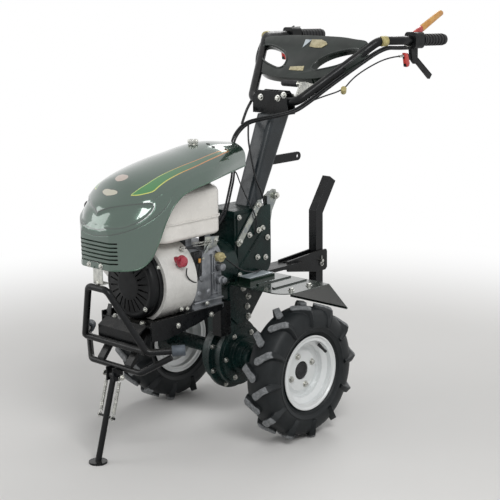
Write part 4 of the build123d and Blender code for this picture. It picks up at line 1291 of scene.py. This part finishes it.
    def build(self) -> None:
        """Dress the engine and add its small parts."""
        Shop.dress(BARE_ALLOY, "engine_crankcase", "engine_cylinder")
        Shop.dress(SHROUD_WHITE, "fan_shroud")
        Shop.dress(TANK_WHITE, "fuel_tank")
        Shop.dress(COARSE_PLASTIC, "recoil_cover", "tank_cap", "air_cleaner")
        Shop.dress(EXHAUST_BLACK, "muffler")
        self.switch()
        self.side_cover()
        self.governor()
        self.ignition()
        self.carburettor()
        self.starter()
        self.tank()


@dataclass
class HoodSkin:
    """Pressed hood with its nose, louvres, rolled rim and screws."""

    stations: tuple[tuple[float, ...], ...] = (
        (-546, 62, 38, 712), (-526, 89, 55, 752), (-496, 123, 76, 782), (-440, 144, 89, 826),
        (-350, 153, 95, 855), (-240, 144, 90, 876), (-110, 104, 65, 893), (6, 62, 38, 880))
    edge: tuple[Pair, ...] = (
        (-546, 580), (-530, 580), (-498, 583), (-466, 600), (-444, 630), (-424, 673), (-400, 724),
        (-372, 757), (-327, 781), (-251, 795), (-175, 804), (6, 812))
    bottom: float = 580.0
    nose_rows: tuple[float, ...] = (0.04, 0.2, 0.36, 0.52, 0.66, 0.78, 0.88, 0.95)
    bulge: float = 4.0
    columns: int = 150
    wall: float = 0.0028
    louvres: tuple[float, ...] = (599.0, 611.2, 622.6, 634.2, 645.6, 657.2)
    recess: tuple[Point, ...] = (
        (0, -538, 738), (17.6, -528.3, 746.1), (47.4, -514.4, 755.5), (96.8, -483.3, 764.4),
        (128, -447, 765), (137, -441, 756), (136.6, -449.9, 745.7), (131.8, -471.3, 729.3),
        (117.2, -498.2, 714.5), (83.7, -528.2, 701.4), (24.2, -546, 694.5), (0, -548, 693))
    stripe_top: tuple[Point, ...] = (
        (74.9, -472.7, 787), (87, -427.9, 810.8), (87.5, -366.5, 831.5), (87.7, -293.1, 847.3),
        (86, -212.3, 860), (78, -140, 868), (66, -80, 866))
    stripe_foot: tuple[Point, ...] = (
        (74.9, -472.7, 787), (96.6, -457.3, 788.2), (113.7, -427.3, 794.6), (113.4, -401.2, 806.2),
        (110.6, -367.5, 818.6), (108.4, -313.1, 832.7), (106, -259.3, 842), (100, -203.4, 851),
        (88, -143.5, 857), (70, -80, 863))
    groove: tuple[Point, ...] = (
        (0, -549, 673), (40.6, -546, 677.6), (84.3, -529.4, 686.6), (123.2, -494.3, 703.3),
        (141.1, -449.9, 723.5), (146.7, -408.7, 748.3), (144.3, -385, 771.5))
    crease: tuple[Point, ...] = (
        (131, -402.8, 787.5), (132.7, -337, 805.5), (127.6, -279.2, 820.6), (119.7, -190.1, 832))
    badges: tuple[tuple[object, ...], ...] = (
        ("oval", 32, -488, 787, 9, 7, 8), ("star", 24, -442, 825, 17, 3, 5))
    vents: tuple[Point, ...] = (
        (30, -122, 889.5), (-30, -122, 889.5), (66, -87, 873.5), (-66, -87, 873.5), (52, -122, 883))
    knob_y: float = -155.0

    @staticmethod
    def arch_parts(row: Sequence[float]) -> tuple[float, float, float]:
        """Crown radius, where the straight side starts, and length of the crown's half.

        Args:
            row: half width, shoulder radius and top height.

        Returns:
            The three measures in millimetres.
        """
        half, shoulder, top = row
        crown = half - shoulder / 2
        spring = top - shoulder * math.sin(math.pi / 3) - crown * (2 - math.sqrt(3))
        return crown, spring, crown * math.pi / 3

    def arch(self, row: Sequence[float], run: float) -> Pair:
        """X and Z on the arch at a distance from its crown.

        Args:
            row: half width, shoulder radius and top height.
            run: distance along the arch from its crown.

        Returns:
            The point on the left half.
        """
        half, shoulder, top = row
        crown, spring, turn = self.arch_parts(row)
        if run <= turn:
            angle = run / (2 * crown)
            return 2 * crown * math.sin(angle), top - 2 * crown * (1 - math.cos(angle))
        run -= turn
        if run <= shoulder * math.pi / 3:
            angle = math.pi / 3 - run / shoulder
            return half - shoulder + shoulder * math.cos(angle), spring + shoulder * math.sin(angle)
        drop = run - shoulder * math.pi / 3
        return half - 0.03 * half * drop / (spring - self.bottom), spring - drop

    def reach(self, row: Sequence[float], low: float) -> float:
        """Distance along the arch from its crown down to a height."""
        _, shoulder, top = row
        crown, spring, turn = self.arch_parts(row)
        if low <= spring:
            return turn + shoulder * math.pi / 3 + spring - low
        if low <= spring + shoulder * math.sin(math.pi / 3):
            return turn + (math.pi / 3 - math.asin((low - spring) / shoulder)) * shoulder
        return math.acos(1 - (top - low) / (2 * crown)) * 2 * crown

    def rows(self) -> list[tuple[float, float, tuple[float, ...], float]]:
        """Rows of the skin: shrink of the nose rows, place, sizes and lower edge."""
        sizes = [SmoothLine([(row[0], row[k]) for row in self.stations]) for k in (1, 2, 3)]
        edge = SmoothLine(self.edge)
        nose, tail = self.stations[0], self.stations[-1]
        rows = [(share, nose[0] - self.bulge * (1 - share ** 2), nose[1:], self.bottom)
                for share in self.nose_rows]
        place = nose[0]
        while place < tail[0]:
            rows.append((1.0, place, tuple(line(place) for line in sizes), edge(place)))
            place += min(6.0, 2.0 + (place - nose[0]) * 0.05)
        rows.append((1.0, tail[0], tail[1:], self.edge[-1][1]))
        return rows

    def skin(self) -> Piece:
        """Arch rows with a rounded nose, thickened inwards and cut by the louvres.

        Returns:
            The bare hood.
        """
        rows = self.rows()
        Bench.clear()
        bpy.ops.mesh.primitive_grid_add(x_subdivisions=self.columns, y_subdivisions=len(rows) - 1, size=2.0)
        skin = Bench.named("hood_skin")
        for vertex in skin.data.vertices:
            shrink, place, sizes, low = rows[round((vertex.co.y + 1) / 2 * (len(rows) - 1))]
            x, z = self.arch(sizes, abs(vertex.co.x) * self.reach(sizes, low))
            z = self.bottom + (z - self.bottom) * shrink
            vertex.co = at(math.copysign(x * shrink, vertex.co.x), place, z)
        Bench.choose(skin, "FACE")
        bpy.ops.mesh.remove_doubles(threshold=WELD)
        Bench.outward(skin)
        crown = max(skin.data.polygons, key=lambda face: face.center.z)
        if crown.normal.z < 0:
            Bench.choose(skin, "FACE")
            bpy.ops.mesh.flip_normals()
            Bench.done()
        Bench.apply(skin, "SOLIDIFY", thickness=self.wall, offset=-1.0)
        slots = [Bench.slab("slot", at(-80, -575, z - 2.2), at(80, -524, z + 2.2), 0.0015)
                 for z in self.louvres]
        Bench.cut(skin, Bench.join("cutter", slots))
        return skin

    def mark(self, skin: Piece) -> None:
        """Press the sunk band and draw the stripe, grooves and blank badges on the skin."""
        Marks.press(skin, self.recess, 0.0055, 0.007)
        turns = [math.pi / 2 - n * math.pi / 12 for n in range(13)]
        for name, half, y, z, up, turned, rise in self.badges:
            Marks.lay(skin, name, [(half * math.cos(a), y + up * math.sin(a) + turned * math.cos(a),
                                    z + rise * math.sin(a)) for a in turns])
        for name, points in (("upper", self.stripe_top), ("lower", self.stripe_foot), ("recess", self.recess),
                             ("groove", self.groove), ("crease", self.crease)):
            Marks.lay(skin, name, points)

    def rim(self) -> None:
        """Rolled rim along the lower edge."""
        rows = [row for row in self.rows() if row[0] == 1.0]
        side = []
        for _, place, sizes, low in rows[::2] + [rows[-1]]:
            x, z = self.arch(sizes, self.reach(sizes, low))
            side.append((x - 1.2, place + (2 if place < -540 else 0), z))
        line = [(-x, y, z) for x, y, z in reversed(side)] + side
        Shop.joined("hood_rim", [Bench.tube("rim", route(line), 0.0026, 2)], HOOD_RIM, smooth=60)

    def blades(self) -> None:
        """Slanted blades behind the louvres, and a dark sheet behind them that is painted shade of the hood's
        inside.
        """
        blades = []
        for low in self.louvres:
            corners = [(-66, -539, low - 5), (66, -539, low - 5), (66, -526, low + 3), (-66, -526, low + 3)]
            blades.append(Bench.plate("blade", corners, (0, 1.0, 1.4), 0.0003, 1))
        Shop.joined("hood_blades", blades, HOOD_RIM)
        # Dark sheet behind the louvres: painted shade, standing in for the shadow inside the hood.
        screen = Bench.slab("screen", at(-70, -522, 588), at(70, -519, 668), 0.0008)
        Shop.joined("hood_screen", [screen], OPENING_SHADE)

    def knob(self) -> None:
        """Star knob and its washer on the crown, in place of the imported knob."""
        parts = []
        for x, y in ring(10.5, 5):
            foot = at(x, self.knob_y + y, 893)
            parts.append(Bench.drum("lobe", foot, foot + Vector((0, 0, 0.011)), 0.0062, 20, 0.0018))
        for low, high, *sizes in ((890, 903.5, 0.0115, 28, 0.002), (888.6, 890.4, 0.0155, 32, 0.0004)):
            parts.append(Bench.drum("middle", at(0, self.knob_y, low), at(0, self.knob_y, high), *sizes))
        knob = Shop.joined("hood_star_knob", parts, BRIGHT_ZINC)
        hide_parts("hood_knob")

    def front_bracket(self) -> None:
        """Bent bracket under the nose and the two screws in it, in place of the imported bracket."""
        spots = facing((0, -1, 0), [(-25.6, -549, 587), (25.7, -549, 588)])
        Fastener(0.009, 0.004, 0.0085).set_at("hood_screws", Body.ROOT, spots)
        upright = Bench.slab("upright", at(-20, -541, 531), at(20, -537, 596), 0.0015)
        foot = Bench.slab("foot", at(-20, -541, 530.5), at(20, -514, 534.5), 0.0015)
        bracket = Shop.joined("hood_bracket", [upright, foot], BRIGHT_ZINC)
        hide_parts("hood_front_bracket")

    def build(self) -> None:
        """Make the hood and what is fixed to it."""
        skin = self.skin()
        self.mark(skin)
        Shop.hand_over(skin, HOOD_GREEN, Body.ROOT, 50)
        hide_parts("hood")
        self.rim()
        self.blades()
        self.knob()
        self.front_bracket()
        # Dark discs on the crown: painted shade in the vent openings.
        slots = []
        for x, y, z in self.vents:
            tilt = Vector((x * 0.004, 0, 1)).normalized()
            centre = at(x, y, z)
            start, end = centre - tilt * 0.004, centre + tilt * 0.0012
            slots.append(Bench.drum("slot", start, end, 0.0062, 20, 0.0006))
        Shop.joined("hood_vents", slots, OPENING_SHADE)


@dataclass
class FrontEnd:
    """Tray, bumper and stand."""

    pivot: Point = (0.0, -494.0, 250.0)
    foot: Point = (0.0, -526.9, 132.5)
    spring_x: float = 28.0
    stay_bolts: tuple[tuple[Pair, Point], ...] = (
        ((-384, 393), (0, 0, -1)), ((-478, 296), (0, -0.6, 0.8)), ((-430, 404), (0, -0.3, 1)))
    guard: tuple[Point, ...] = ((-100, -441, 385), (-70, -441, 385), (-84, -422, 434), (-100, -422, 434))

    def springs(self) -> None:
        """Two wound springs with hooks beside the stand leg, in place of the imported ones."""
        parts = []
        for x in (-self.spring_x, self.spring_x):
            top, low = at(x, *self.pivot[1:]), at(x, *self.foot[1:])
            along = (low - top).normalized()
            parts.append(Bench.coil("coil", top + along * 0.014, low - along * 0.012, 0.0052, 0.0022, 34))
            for centre, way in ((top, 1), (low, -1)):
                hook = [centre + Vector((0.0016 * way, y, z)) for y, z in ring(0.0068, 10)[:9]]
                hook.append(centre + along * 0.013 * way)
                parts.append(Bench.tube("hook", hook, 0.0011))
        springs = Shop.joined("stand_coils", parts, BRIGHT_ZINC, Body.STAND)
        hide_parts("stand_springs")

    def caps(self) -> None:
        """Plastic caps on the ends of the wings."""
        for side in Side:
            end, inner = at(side.value * 205, -405, 346), at(side.value * 136, -484, 342)
            along = (end - inner).normalized()
            cap = Bench.drum("cap", end - along * 0.034, end + along * 0.005, 0.0158, 40, 0.003)
            Shop.joined(f"wing_cap_{side.word}", [cap], CAP_BLUE_GREY)

    def bolts(self) -> None:
        """Bolts of the stays, the pivot, the tray and its lip, and the guard on the tray."""
        spots = [((x, y, z), out) for x in (-60, 60) for (y, z), out in self.stay_bolts]
        for x in (38, -38):
            spots.append(((x, *self.pivot[1:]), (math.copysign(1, x), 0, 0)))
        spots += facing((1, 0, 0), [(111, -200, 392), (111, -336, 386)])
        spots += facing((0, -1, 0), [(0, -538, 535)])
        Fastener(0.010, 0.0045, 0.0085).set_at("front_bolts", Body.ROOT, spots)
        Shop.joined("tray_guard", [Bench.plate("guard", self.guard, (0, 3, 0), 0.0015)], SATIN_BLACK)

    def build(self) -> None:
        """Dress the front of the machine."""
        Shop.dress(SATIN_BLACK, "engine_tray", "tray_channel", "bumper_upper", "bumper_lower", "bumper_stays",
                   "stand_bracket", "stand_leg", "hood_post")
        Shop.dress(BRIGHT_ZINC, "stand_springs", "hood_front_bracket", "hood_knob")
        Shop.dress(HOOD_GREEN, "hood")
        self.springs()
        self.caps()
        self.bolts()


@dataclass
class Dash:
    """Dash panel: its moulding, lips round the hand openings, blank badge and label."""

    low: Pair = (313.0, 1069.0)
    high: Pair = (422.0, 1170.0)
    face: float = 13.0
    thick: float = 24.0
    outline: tuple[Pair, ...] = (
        (0, -33), (62, -33), (122, -24), (172, 2), (204, 44), (222, 88), (226, 118), (208, 138), (160, 144),
        (88, 151))
    opening: tuple[Pair, ...] = (
        (60, 16), (66, 46), (98, 76), (150, 97), (188, 103), (204, 94), (196, 62), (160, 32), (108, 12),
        (76, 5))
    tube: tuple[Point, ...] = ((94, 202, 990), (241, 428, 1173), (263, 520, 1170))
    badge: tuple[Pair, ...] = ((-39, 132), (-12, 132), (-30, 96))
    shield: tuple[Pair, ...] = ((-12, 133), (30, 134), (52, 126), (64, 116), (50, 100), (24, 98), (-4, 102))
    label: tuple[Pair, ...] = ((-29, 13), (27, 19), (34, -1), (-26, -2))

    @staticmethod
    def rounded(corners: Sequence[Pair], steps: int = 5) -> list[Pair]:
        """Closed smooth outline through its corners."""
        loop = [Vector(corner) for corner in corners]
        line = []
        for n in range(len(loop)):
            four = [loop[(n + k) % len(loop)] for k in (-1, 0, 1, 2)]
            line += [tuple(spline(*four, k / steps)) for k in range(steps)]
        return line

    def directions(self) -> tuple[Vector, Vector]:
        """Up along the panel and out of its face."""
        rise = Vector((0, self.high[0] - self.low[0], self.high[1] - self.low[1])).normalized()
        return rise, Vector((1, 0, 0)).cross(rise)

    def spots(self, corners: Iterable[Pair], lift: float) -> list[Point]:
        """Places on the panel in millimetres, from corners across and up it and a lift off its face."""
        rise, out = self.directions()
        return [tuple(Vector((x, *self.low)) + rise * w + out * (self.face + lift)) for x, w in corners]

    def plate(self, name: str, corners: Sequence[Pair], lift: float, thick: float, bevel: float,
              finish: Finish) -> None:
        """Thin plate on the face of the panel."""
        made = Bench.plate("plate", self.spots(corners, lift), (0, -thick, thick), bevel)
        Shop.joined(name, [made], finish, Body.HANDLEBAR)

    def build(self) -> None:
        """Make the moulded panel with its lips, badge and label."""
        _, out = self.directions()
        border = self.rounded(self.outline + tuple((-x, w) for x, w in reversed(self.outline[1:])))
        hole = self.rounded(self.opening)
        holes = (hole, [(-x, w) for x, w in reversed(hole)])
        panel = Bench.plate("dash_moulding", self.spots(border, 0), tuple(out * -self.thick))
        cutters = [Bench.plate("cutter", self.spots(outline, 10), tuple(out * -50)) for outline in holes]
        for start, end in zip(self.tube, self.tube[1:]):
            for side in (1, -1):
                ends = [at(side * x, y, z) for x, y, z in (start, end)]
                cutters.append(Bench.drum("cutter", *ends, 0.0148, 24))
        for cutter in cutters:
            Bench.cut(panel, cutter)
        Bench.round_edges(panel, 0.005, 4, 50)
        Shop.hand_over(panel, DASH_GREEN, Body.HANDLEBAR, 40)
        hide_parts("dash_panel")
        lips = [Bench.tube("lip", route(self.spots([*hole, *hole[:3]], -1.5)), 0.0042, 2) for hole in holes]
        Shop.joined("dash_beads", lips, DASH_GREEN, Body.HANDLEBAR, 60)
        self.plate("badge", self.badge, 0.2, 1.2, 0.0006, PLATE_BLANK)
        self.plate("badge_shield", self.shield, 0.2, 1.6, 0.0008, PLATE_CREAM)
        self.plate("label", self.label, 0.1, 0.7, 0.0003, PLATE_CREAM)


@dataclass
class Controls:
    """Latches, speed lever, adjusters and clip bands on the handlebar."""

    x: float = 262.0
    far_cut: tuple[Point, Point] = ((-280, 592, 1194), (-244, 750, 1270))
    latch: tuple[Pair, ...] = ((527, 1131), (545, 1129), (556, 1096), (552, 1086), (540, 1084), (533, 1098))
    root: tuple[Pair, ...] = ((571, 1191), (591, 1177), (628, 1194), (620, 1212))
    lever: tuple[Pair, ...] = ((618, 1213), (627, 1193), (735, 1243), (734, 1252), (722, 1258))
    adjusters: tuple[tuple[float, ...], ...] = (
        (545, 562, 1147.5, 0.0052, 20, 0.0008), (506, 528, 1121, 0.0042, 16, 0.0008),
        (540, 545, 1147.5, 0.0066, 6, 0.0004))
    near_bolts: tuple[Pair, ...] = ((-37, 1000), (36, 1001), (61, 1012))
    rear_bolts: tuple[Pair, ...] = ((-37, 1000), (36, 1001), (-61, 1003), (61, 1003))

    def far_control(self) -> None:
        """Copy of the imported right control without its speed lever, in its place."""
        far = NODES["control_right"].copy()
        far.data = far.data.copy()
        Bench.link(far)
        Bench.cut(far, Bench.slab("cutter", *route(self.far_cut)))
        far.name = "far_control"
        Shop.hand_over(far, COARSE_PLASTIC, Body.HANDLEBAR)
        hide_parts("control_right")

    def one_side(self, side: Side) -> None:
        """Latch, adjusters and clip band of one side."""
        x = side.value * self.x
        latch = Bench.side_plate("latch", x - 6.2, self.latch, 12.4, 0.003, 3)
        Shop.joined(f"latch_{side.word}", [latch], LATCH_RED, Body.HANDLEBAR)
        parts = [Bench.drum("adjuster", at(x, start, z), at(x, end, z), radius, int(sides), bevel)
                 for start, end, z, radius, sides, bevel in self.adjusters]
        Shop.joined(f"adjusters_{side.word}", parts, BRIGHT_ZINC, Body.HANDLEBAR)
        start, end = at(side.value * 247, 432, 1171), at(side.value * 253, 452, 1172)
        band = Bench.drum("band", start, end, 0.0163, 40, 0.0008)
        Shop.joined(f"clip_band_{side.word}", [band], PALE_BAND, Body.HANDLEBAR)
        if side is Side.LEFT:
            self.speed_lever()

    def speed_lever(self) -> None:
        """Red root and orange lever on the left control."""
        root = Bench.side_plate("root", self.x - 4.4, self.root, 8.8, 0.0015)
        Shop.joined("speed_root_left", [root], LATCH_RED, Body.HANDLEBAR)
        lever = Bench.side_plate("lever", self.x - 4.8, self.lever, 9.6, 0.0025, 3)
        Shop.joined("speed_lever_left", [lever], LEVER_ORANGE, Body.HANDLEBAR)

    def build(self) -> None:
        """Make both sides and dress the handlebar."""
        Shop.dress(SATIN_BLACK, "handle_left", "handle_right")
        Shop.dress(GRIP_RUBBER, "grip_left", "grip_right")
        Shop.dress(COARSE_PLASTIC, "control_left")
        Shop.dress(BRIGHT_ZINC, "adjuster_lever")
        self.far_control()
        sleeves = [Bench.drum("sleeve", at(-3, 248, 1042), at(64, 248, 1042), 0.0104, 28, 0.003),
                   Bench.drum("sleeve", at(83, 306, 1032), at(83, 370, 1033), 0.0102, 28, 0.003)]
        Shop.joined("adjuster_grips", sleeves, GRIP_RUBBER, Body.HANDLEBAR)
        for side in Side:
            self.one_side(side)
        clip = Bench.drum("clip", at(203, 303, 1032), at(191, 316, 1018), 0.009, 24, 0.0012)
        Shop.joined("loop_clip", [clip], PALE_BAND, Body.HANDLEBAR)
        bolts = facing((0, -1, 0), [(x, 182.5, z) for x, z in self.near_bolts])
        bolts += facing((0, 1, 0), [(x, 221.5, z) for x, z in self.rear_bolts])
        LARGE_BOLT.set_at("clamp_bolts", Body.ROOT, bolts)


@dataclass
class Cables:
    """Control cables under the tubes, across the tilt axis and down to the engine."""

    tube_run: tuple[Point, ...] = (
        (262, 556, 1147.5), (261, 500, 1149), (251, 438, 1154), (202, 362, 1097), (152, 285, 1036),
        (113, 227, 986))
    down_run: tuple[Point, ...] = (
        (96, 188, 964), (60, 140, 952), (18, 112, 942), (-20, 86, 928), (-34, 48, 884), (-24, 34, 836),
        (-6, 22, 780), (-6, 0, 716), (30, -54, 672), (34, -96, 642), (34, -152, 602))
    far_run: tuple[Point, ...] = ((-97, 188, 964), (-64, 140, 950), (-24, 82, 924))
    bowed: tuple[Point, ...] = (
        (262, 512, 1121), (259, 450, 1121), (236, 371, 1090), (214, 330, 1060), (196, 310, 1026),
        (150, 262, 1006), (118, 236, 990))
    strands: tuple[Point, ...] = ((4.5, 1.0, -1.5), (-4.8, 2.0, -2.5), (0.2, -4.5, 2.0), (1.0, 5.5, -6.0))
    thin_runs: tuple[tuple[float, tuple[Point, ...]], ...] = (
        (0.0028, ((-9, 95, 933), (20, 60, 890), (38, 54, 836), (45, 66, 760), (50, 92, 712), (50, 100, 678))),
        (0.0021, ((-6, 24, 785), (26, 0, 792), (58, -16, 760), (72, 4, 704), (78, 24, 668), (77, 40, 626),
                  (66, 38, 592))),
        (0.0021, ((95, -164, 578), (108, -138, 554), (113, -108, 530), (112, -64, 500), (100, 10, 482),
                  (70, 56, 477))))

    def crossing(self, name: str, points: Sequence[Point], shift: Point, radius: float) -> None:
        """One cable that runs across the tilt axis.

        Args:
            name: name of the cable.
            points: control points of its line.
            shift: how far it lies beside that line, in millimetres.
            radius: radius in metres.
        """
        cable = Bench.tube(name, route(Vector(point) + Vector(shift) for point in points), radius, 2)
        Shop.hand_over(cable, CABLE_BLACK, Body.ROOT, 60)
        cable.parent = None
        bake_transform(cable)

    def build(self) -> None:
        """Make every cable."""
        full = self.tube_run + self.down_run
        for number, shift in enumerate(self.strands):
            self.crossing(f"cable_{number}", full, shift, 0.0027)
        far = [(-x, y, z) for x, y, z in self.tube_run] + list(self.far_run)
        self.crossing("cable_far", far, (0, 0, 0), 0.003)
        self.crossing("cable_far_thin", far, (3, -7, 4), 0.0022)
        bowed = Bench.tube("bowed", route(self.bowed), 0.0024, 2)
        Shop.joined("cable_loop", [bowed], CABLE_BLACK, Body.HANDLEBAR, 60)
        thin = [Bench.tube("thin", route(run), radius, 2) for radius, run in self.thin_runs]
        Shop.joined("cable_thin_runs", thin, CABLE_BLACK, smooth=60)


@dataclass
class Rear:
    """Column, fenders and hitch."""

    bracket_bolts: tuple[Pair, ...] = ((-1.3, 425.7), (20.8, 395.6), (15.7, 364.3), (19.7, 331))
    # Outline of the pale plate on each fender top, a painted reflection.
    pad: tuple[Pair, ...] = ((72, -38), (116, -38), (116, 66), (72, 66))
    shift_bolts: tuple[Point, ...] = (
        (72, -33, 582), (72, 52, 684), (66, 15, 594), (66, 56, 603), (66, 74, 607), (66, 96, 574),
        (66, 86, 512), (66, 50, 518), (56, 152, 698))
    clip: tuple[Point, ...] = (
        (26, 404, 452), (26, 404, 436), (27, 412, 428), (28, 404, 420), (27, 396, 428), (26, 404, 436),
        (26, 406, 456))

    def fender_parts(self) -> None:
        """Bolts of the fender brackets, and pale plates on the fender tops that are painted reflection on the
        glossy paint.
        """
        spots = []
        for side in (1, -1):
            spots += facing((side, 0, 0), [(side * 51, y, z) for y, z in self.bracket_bolts])
            spots += facing((0, 0, 1), [(side * 270, y, 458) for y in (-20, 60)])
        LARGE_BOLT.set_at("fender_bolts", Body.ROOT, spots)
        # Pale blue-grey plates on the fender tops: painted reflection on the glossy fender paint.
        for side in Side:
            corners = [(side.value * x, y, 472.2) for x, y in self.pad]
            cover = Bench.plate("cover", corners, (0, 0, 2.4), 0.002, 3)
            Shop.joined(f"pad_cover_{side.word}", [cover], PLATE_BLANK)

    def build(self) -> None:
        """Dress the rear of the machine and add its bolts and the clip of the hitch pin."""
        Shop.dress(SATIN_BLACK, "column_arm", "handlebar_clamp", "hitch_bracket", "drag_bar")
        Shop.dress(COLUMN_BLACK, "column")
        Shop.dress(PANEL_GREEN, "fender_left", "fender_right")
        Shop.dress(BRIGHT_ZINC, "hitch_pin")
        self.fender_parts()
        Fastener(0.011, 0.0055, 0.0095).set_at("shift_bolts", Body.ROOT, facing((1, 0, 0), self.shift_bolts))
        Shop.joined("pin_clip", [Bench.tube("clip", route(self.clip), 0.0013, 2)], BRIGHT_ZINC, smooth=60)


# Studio


@dataclass
class Studio:
    """Pale floor, soft lamps and the camera of the photograph."""

    camera_at: Point = (2868.4, -2907.2, 1446.2)
    azimuth: float = 43.75
    elevation: float = 12.14
    roll: float = -0.67
    focal: float = 1338.13
    middle: tuple[float, float] = (250.71, 240.91)
    image: float = 500.0
    film: float = 36.0
    floor_radius: float = 40.0
    floor_fade: Pair = (1.1, 2.6)
    floor_tones: tuple[str, str] = ("dddcda", "e2e1df")
    aim: Point = (0.0, 0.0, 0.6)
    room_light: float = 0.42
    lamps: tuple[tuple[str, Point, float, float], ...] = (
        ("key", (2.6, -1.6, 3.2), 70, 1.6), ("fill", (-2.6, -2.8, 2.0), 30, 2.0),
        ("rear", (-1.2, 3.0, 2.6), 35, 1.6))

    def camera(self) -> None:
        """Camera at the place and angle of the photograph."""
        data = bpy.data.cameras.new("camera")
        data.sensor_width = self.film
        data.lens = self.focal / self.image * self.film
        data.shift_x = (self.image / 2 - self.middle[0]) / self.image
        data.shift_y = (self.middle[1] - self.image / 2) / self.image
        data.clip_start, data.clip_end = 0.05, 200.0
        camera = bpy.data.objects.new("camera", data)
        Bench.link(camera)
        az, el = math.radians(self.azimuth), math.radians(self.elevation)
        ahead = Vector((-math.sin(az) * math.cos(el), math.cos(az) * math.cos(el), -math.sin(el)))
        turn = ahead.to_track_quat("-Z", "Y").to_matrix().to_4x4()
        roll = Matrix.Rotation(math.radians(self.roll), 4, "Z")
        camera.matrix_world = Matrix.Translation(at(*self.camera_at)) @ turn @ roll
        bpy.context.scene.camera = camera

    def floor(self) -> None:
        """Wide pale floor that turns into the white background away from the machine."""
        Bench.clear()
        bpy.ops.mesh.primitive_circle_add(vertices=96, radius=self.floor_radius, fill_type="NGON")
        floor = Bench.named("floor")
        recipe = Recipe("floor_paint")
        x, y, _ = recipe.axes(recipe.place)
        radius = recipe.math("SQRT", recipe.plus(recipe.times(x, x), recipe.times(y, y)))
        far = recipe.remap(radius, *self.floor_fade)
        mottle = recipe.blend(recipe.noise(0.4, 3), *map(tone, self.floor_tones))
        recipe.feed(recipe.shader.inputs["Base Color"], mottle)
        recipe.shader.inputs["Roughness"].default_value = 0.85
        glow = recipe.node("ShaderNodeEmission")
        glow.inputs["Color"].default_value = (1, 1, 1, 1)
        mix = recipe.node("ShaderNodeMixShader")
        shown = recipe.times(far, recipe.seen())
        for socket, entry in zip(mix.inputs, (shown, recipe.shader.outputs[0], glow.outputs[0])):
            recipe.feed(socket, entry)
        recipe.feed(recipe.tree.nodes["Material Output"].inputs["Surface"], mix.outputs[0])
        floor.data.materials.append(recipe.material)

    def sky(self) -> None:
        """Even room light, white where the camera sees it."""
        world = bpy.data.worlds.new("room")
        world.use_nodes = True
        wiring = Wiring(world.node_tree)
        level = wiring.node("ShaderNodeMapRange")
        for key, entry in (("Value", wiring.seen()), ("To Min", self.room_light), ("To Max", 1.0)):
            wiring.feed(level.inputs[key], entry)
        back = wiring.tree.nodes["Background"]
        back.inputs["Color"].default_value = (1.0, 1.0, 1.0, 1.0)
        wiring.feed(back.inputs["Strength"], level.outputs["Result"])
        bpy.context.scene.world = world

    def lamp(self, name: str, place: Point, power: float, size: float) -> None:
        """Soft square lamp aimed at the machine.

        Args:
            name: name of the lamp.
            place: where it hangs, in metres.
            power: watts.
            size: side of the square in metres.
        """
        data = bpy.data.lights.new(name, "AREA")
        data.energy, data.size = power, size
        lamp = bpy.data.objects.new(name, data)
        Bench.link(lamp)
        lamp.location = place
        lamp.rotation_mode = "QUATERNION"
        lamp.rotation_quaternion = (Vector(self.aim) - Vector(place)).to_track_quat("-Z", "Y")

    def build(self) -> None:
        """Set up the whole studio."""
        bpy.context.scene.view_settings.view_transform = "Standard"
        self.camera()
        self.floor()
        self.sky()
        for lamp in self.lamps:
            self.lamp(*lamp)


def main() -> None:
    """Build and dress the whole machine and its studio."""
    logging.basicConfig(level=logging.INFO, format="%(message)s")
    Studio().build()
    for side in Side:
        DriveWheel(side).build()
    for assembly in (Transmission(), Engine(), HoodSkin(), FrontEnd(), Dash(), Controls(), Cables(), Rear()):
        LOG.info("building %s", type(assembly).__name__)
        assembly.build()


if __name__ == "__main__":
    main()
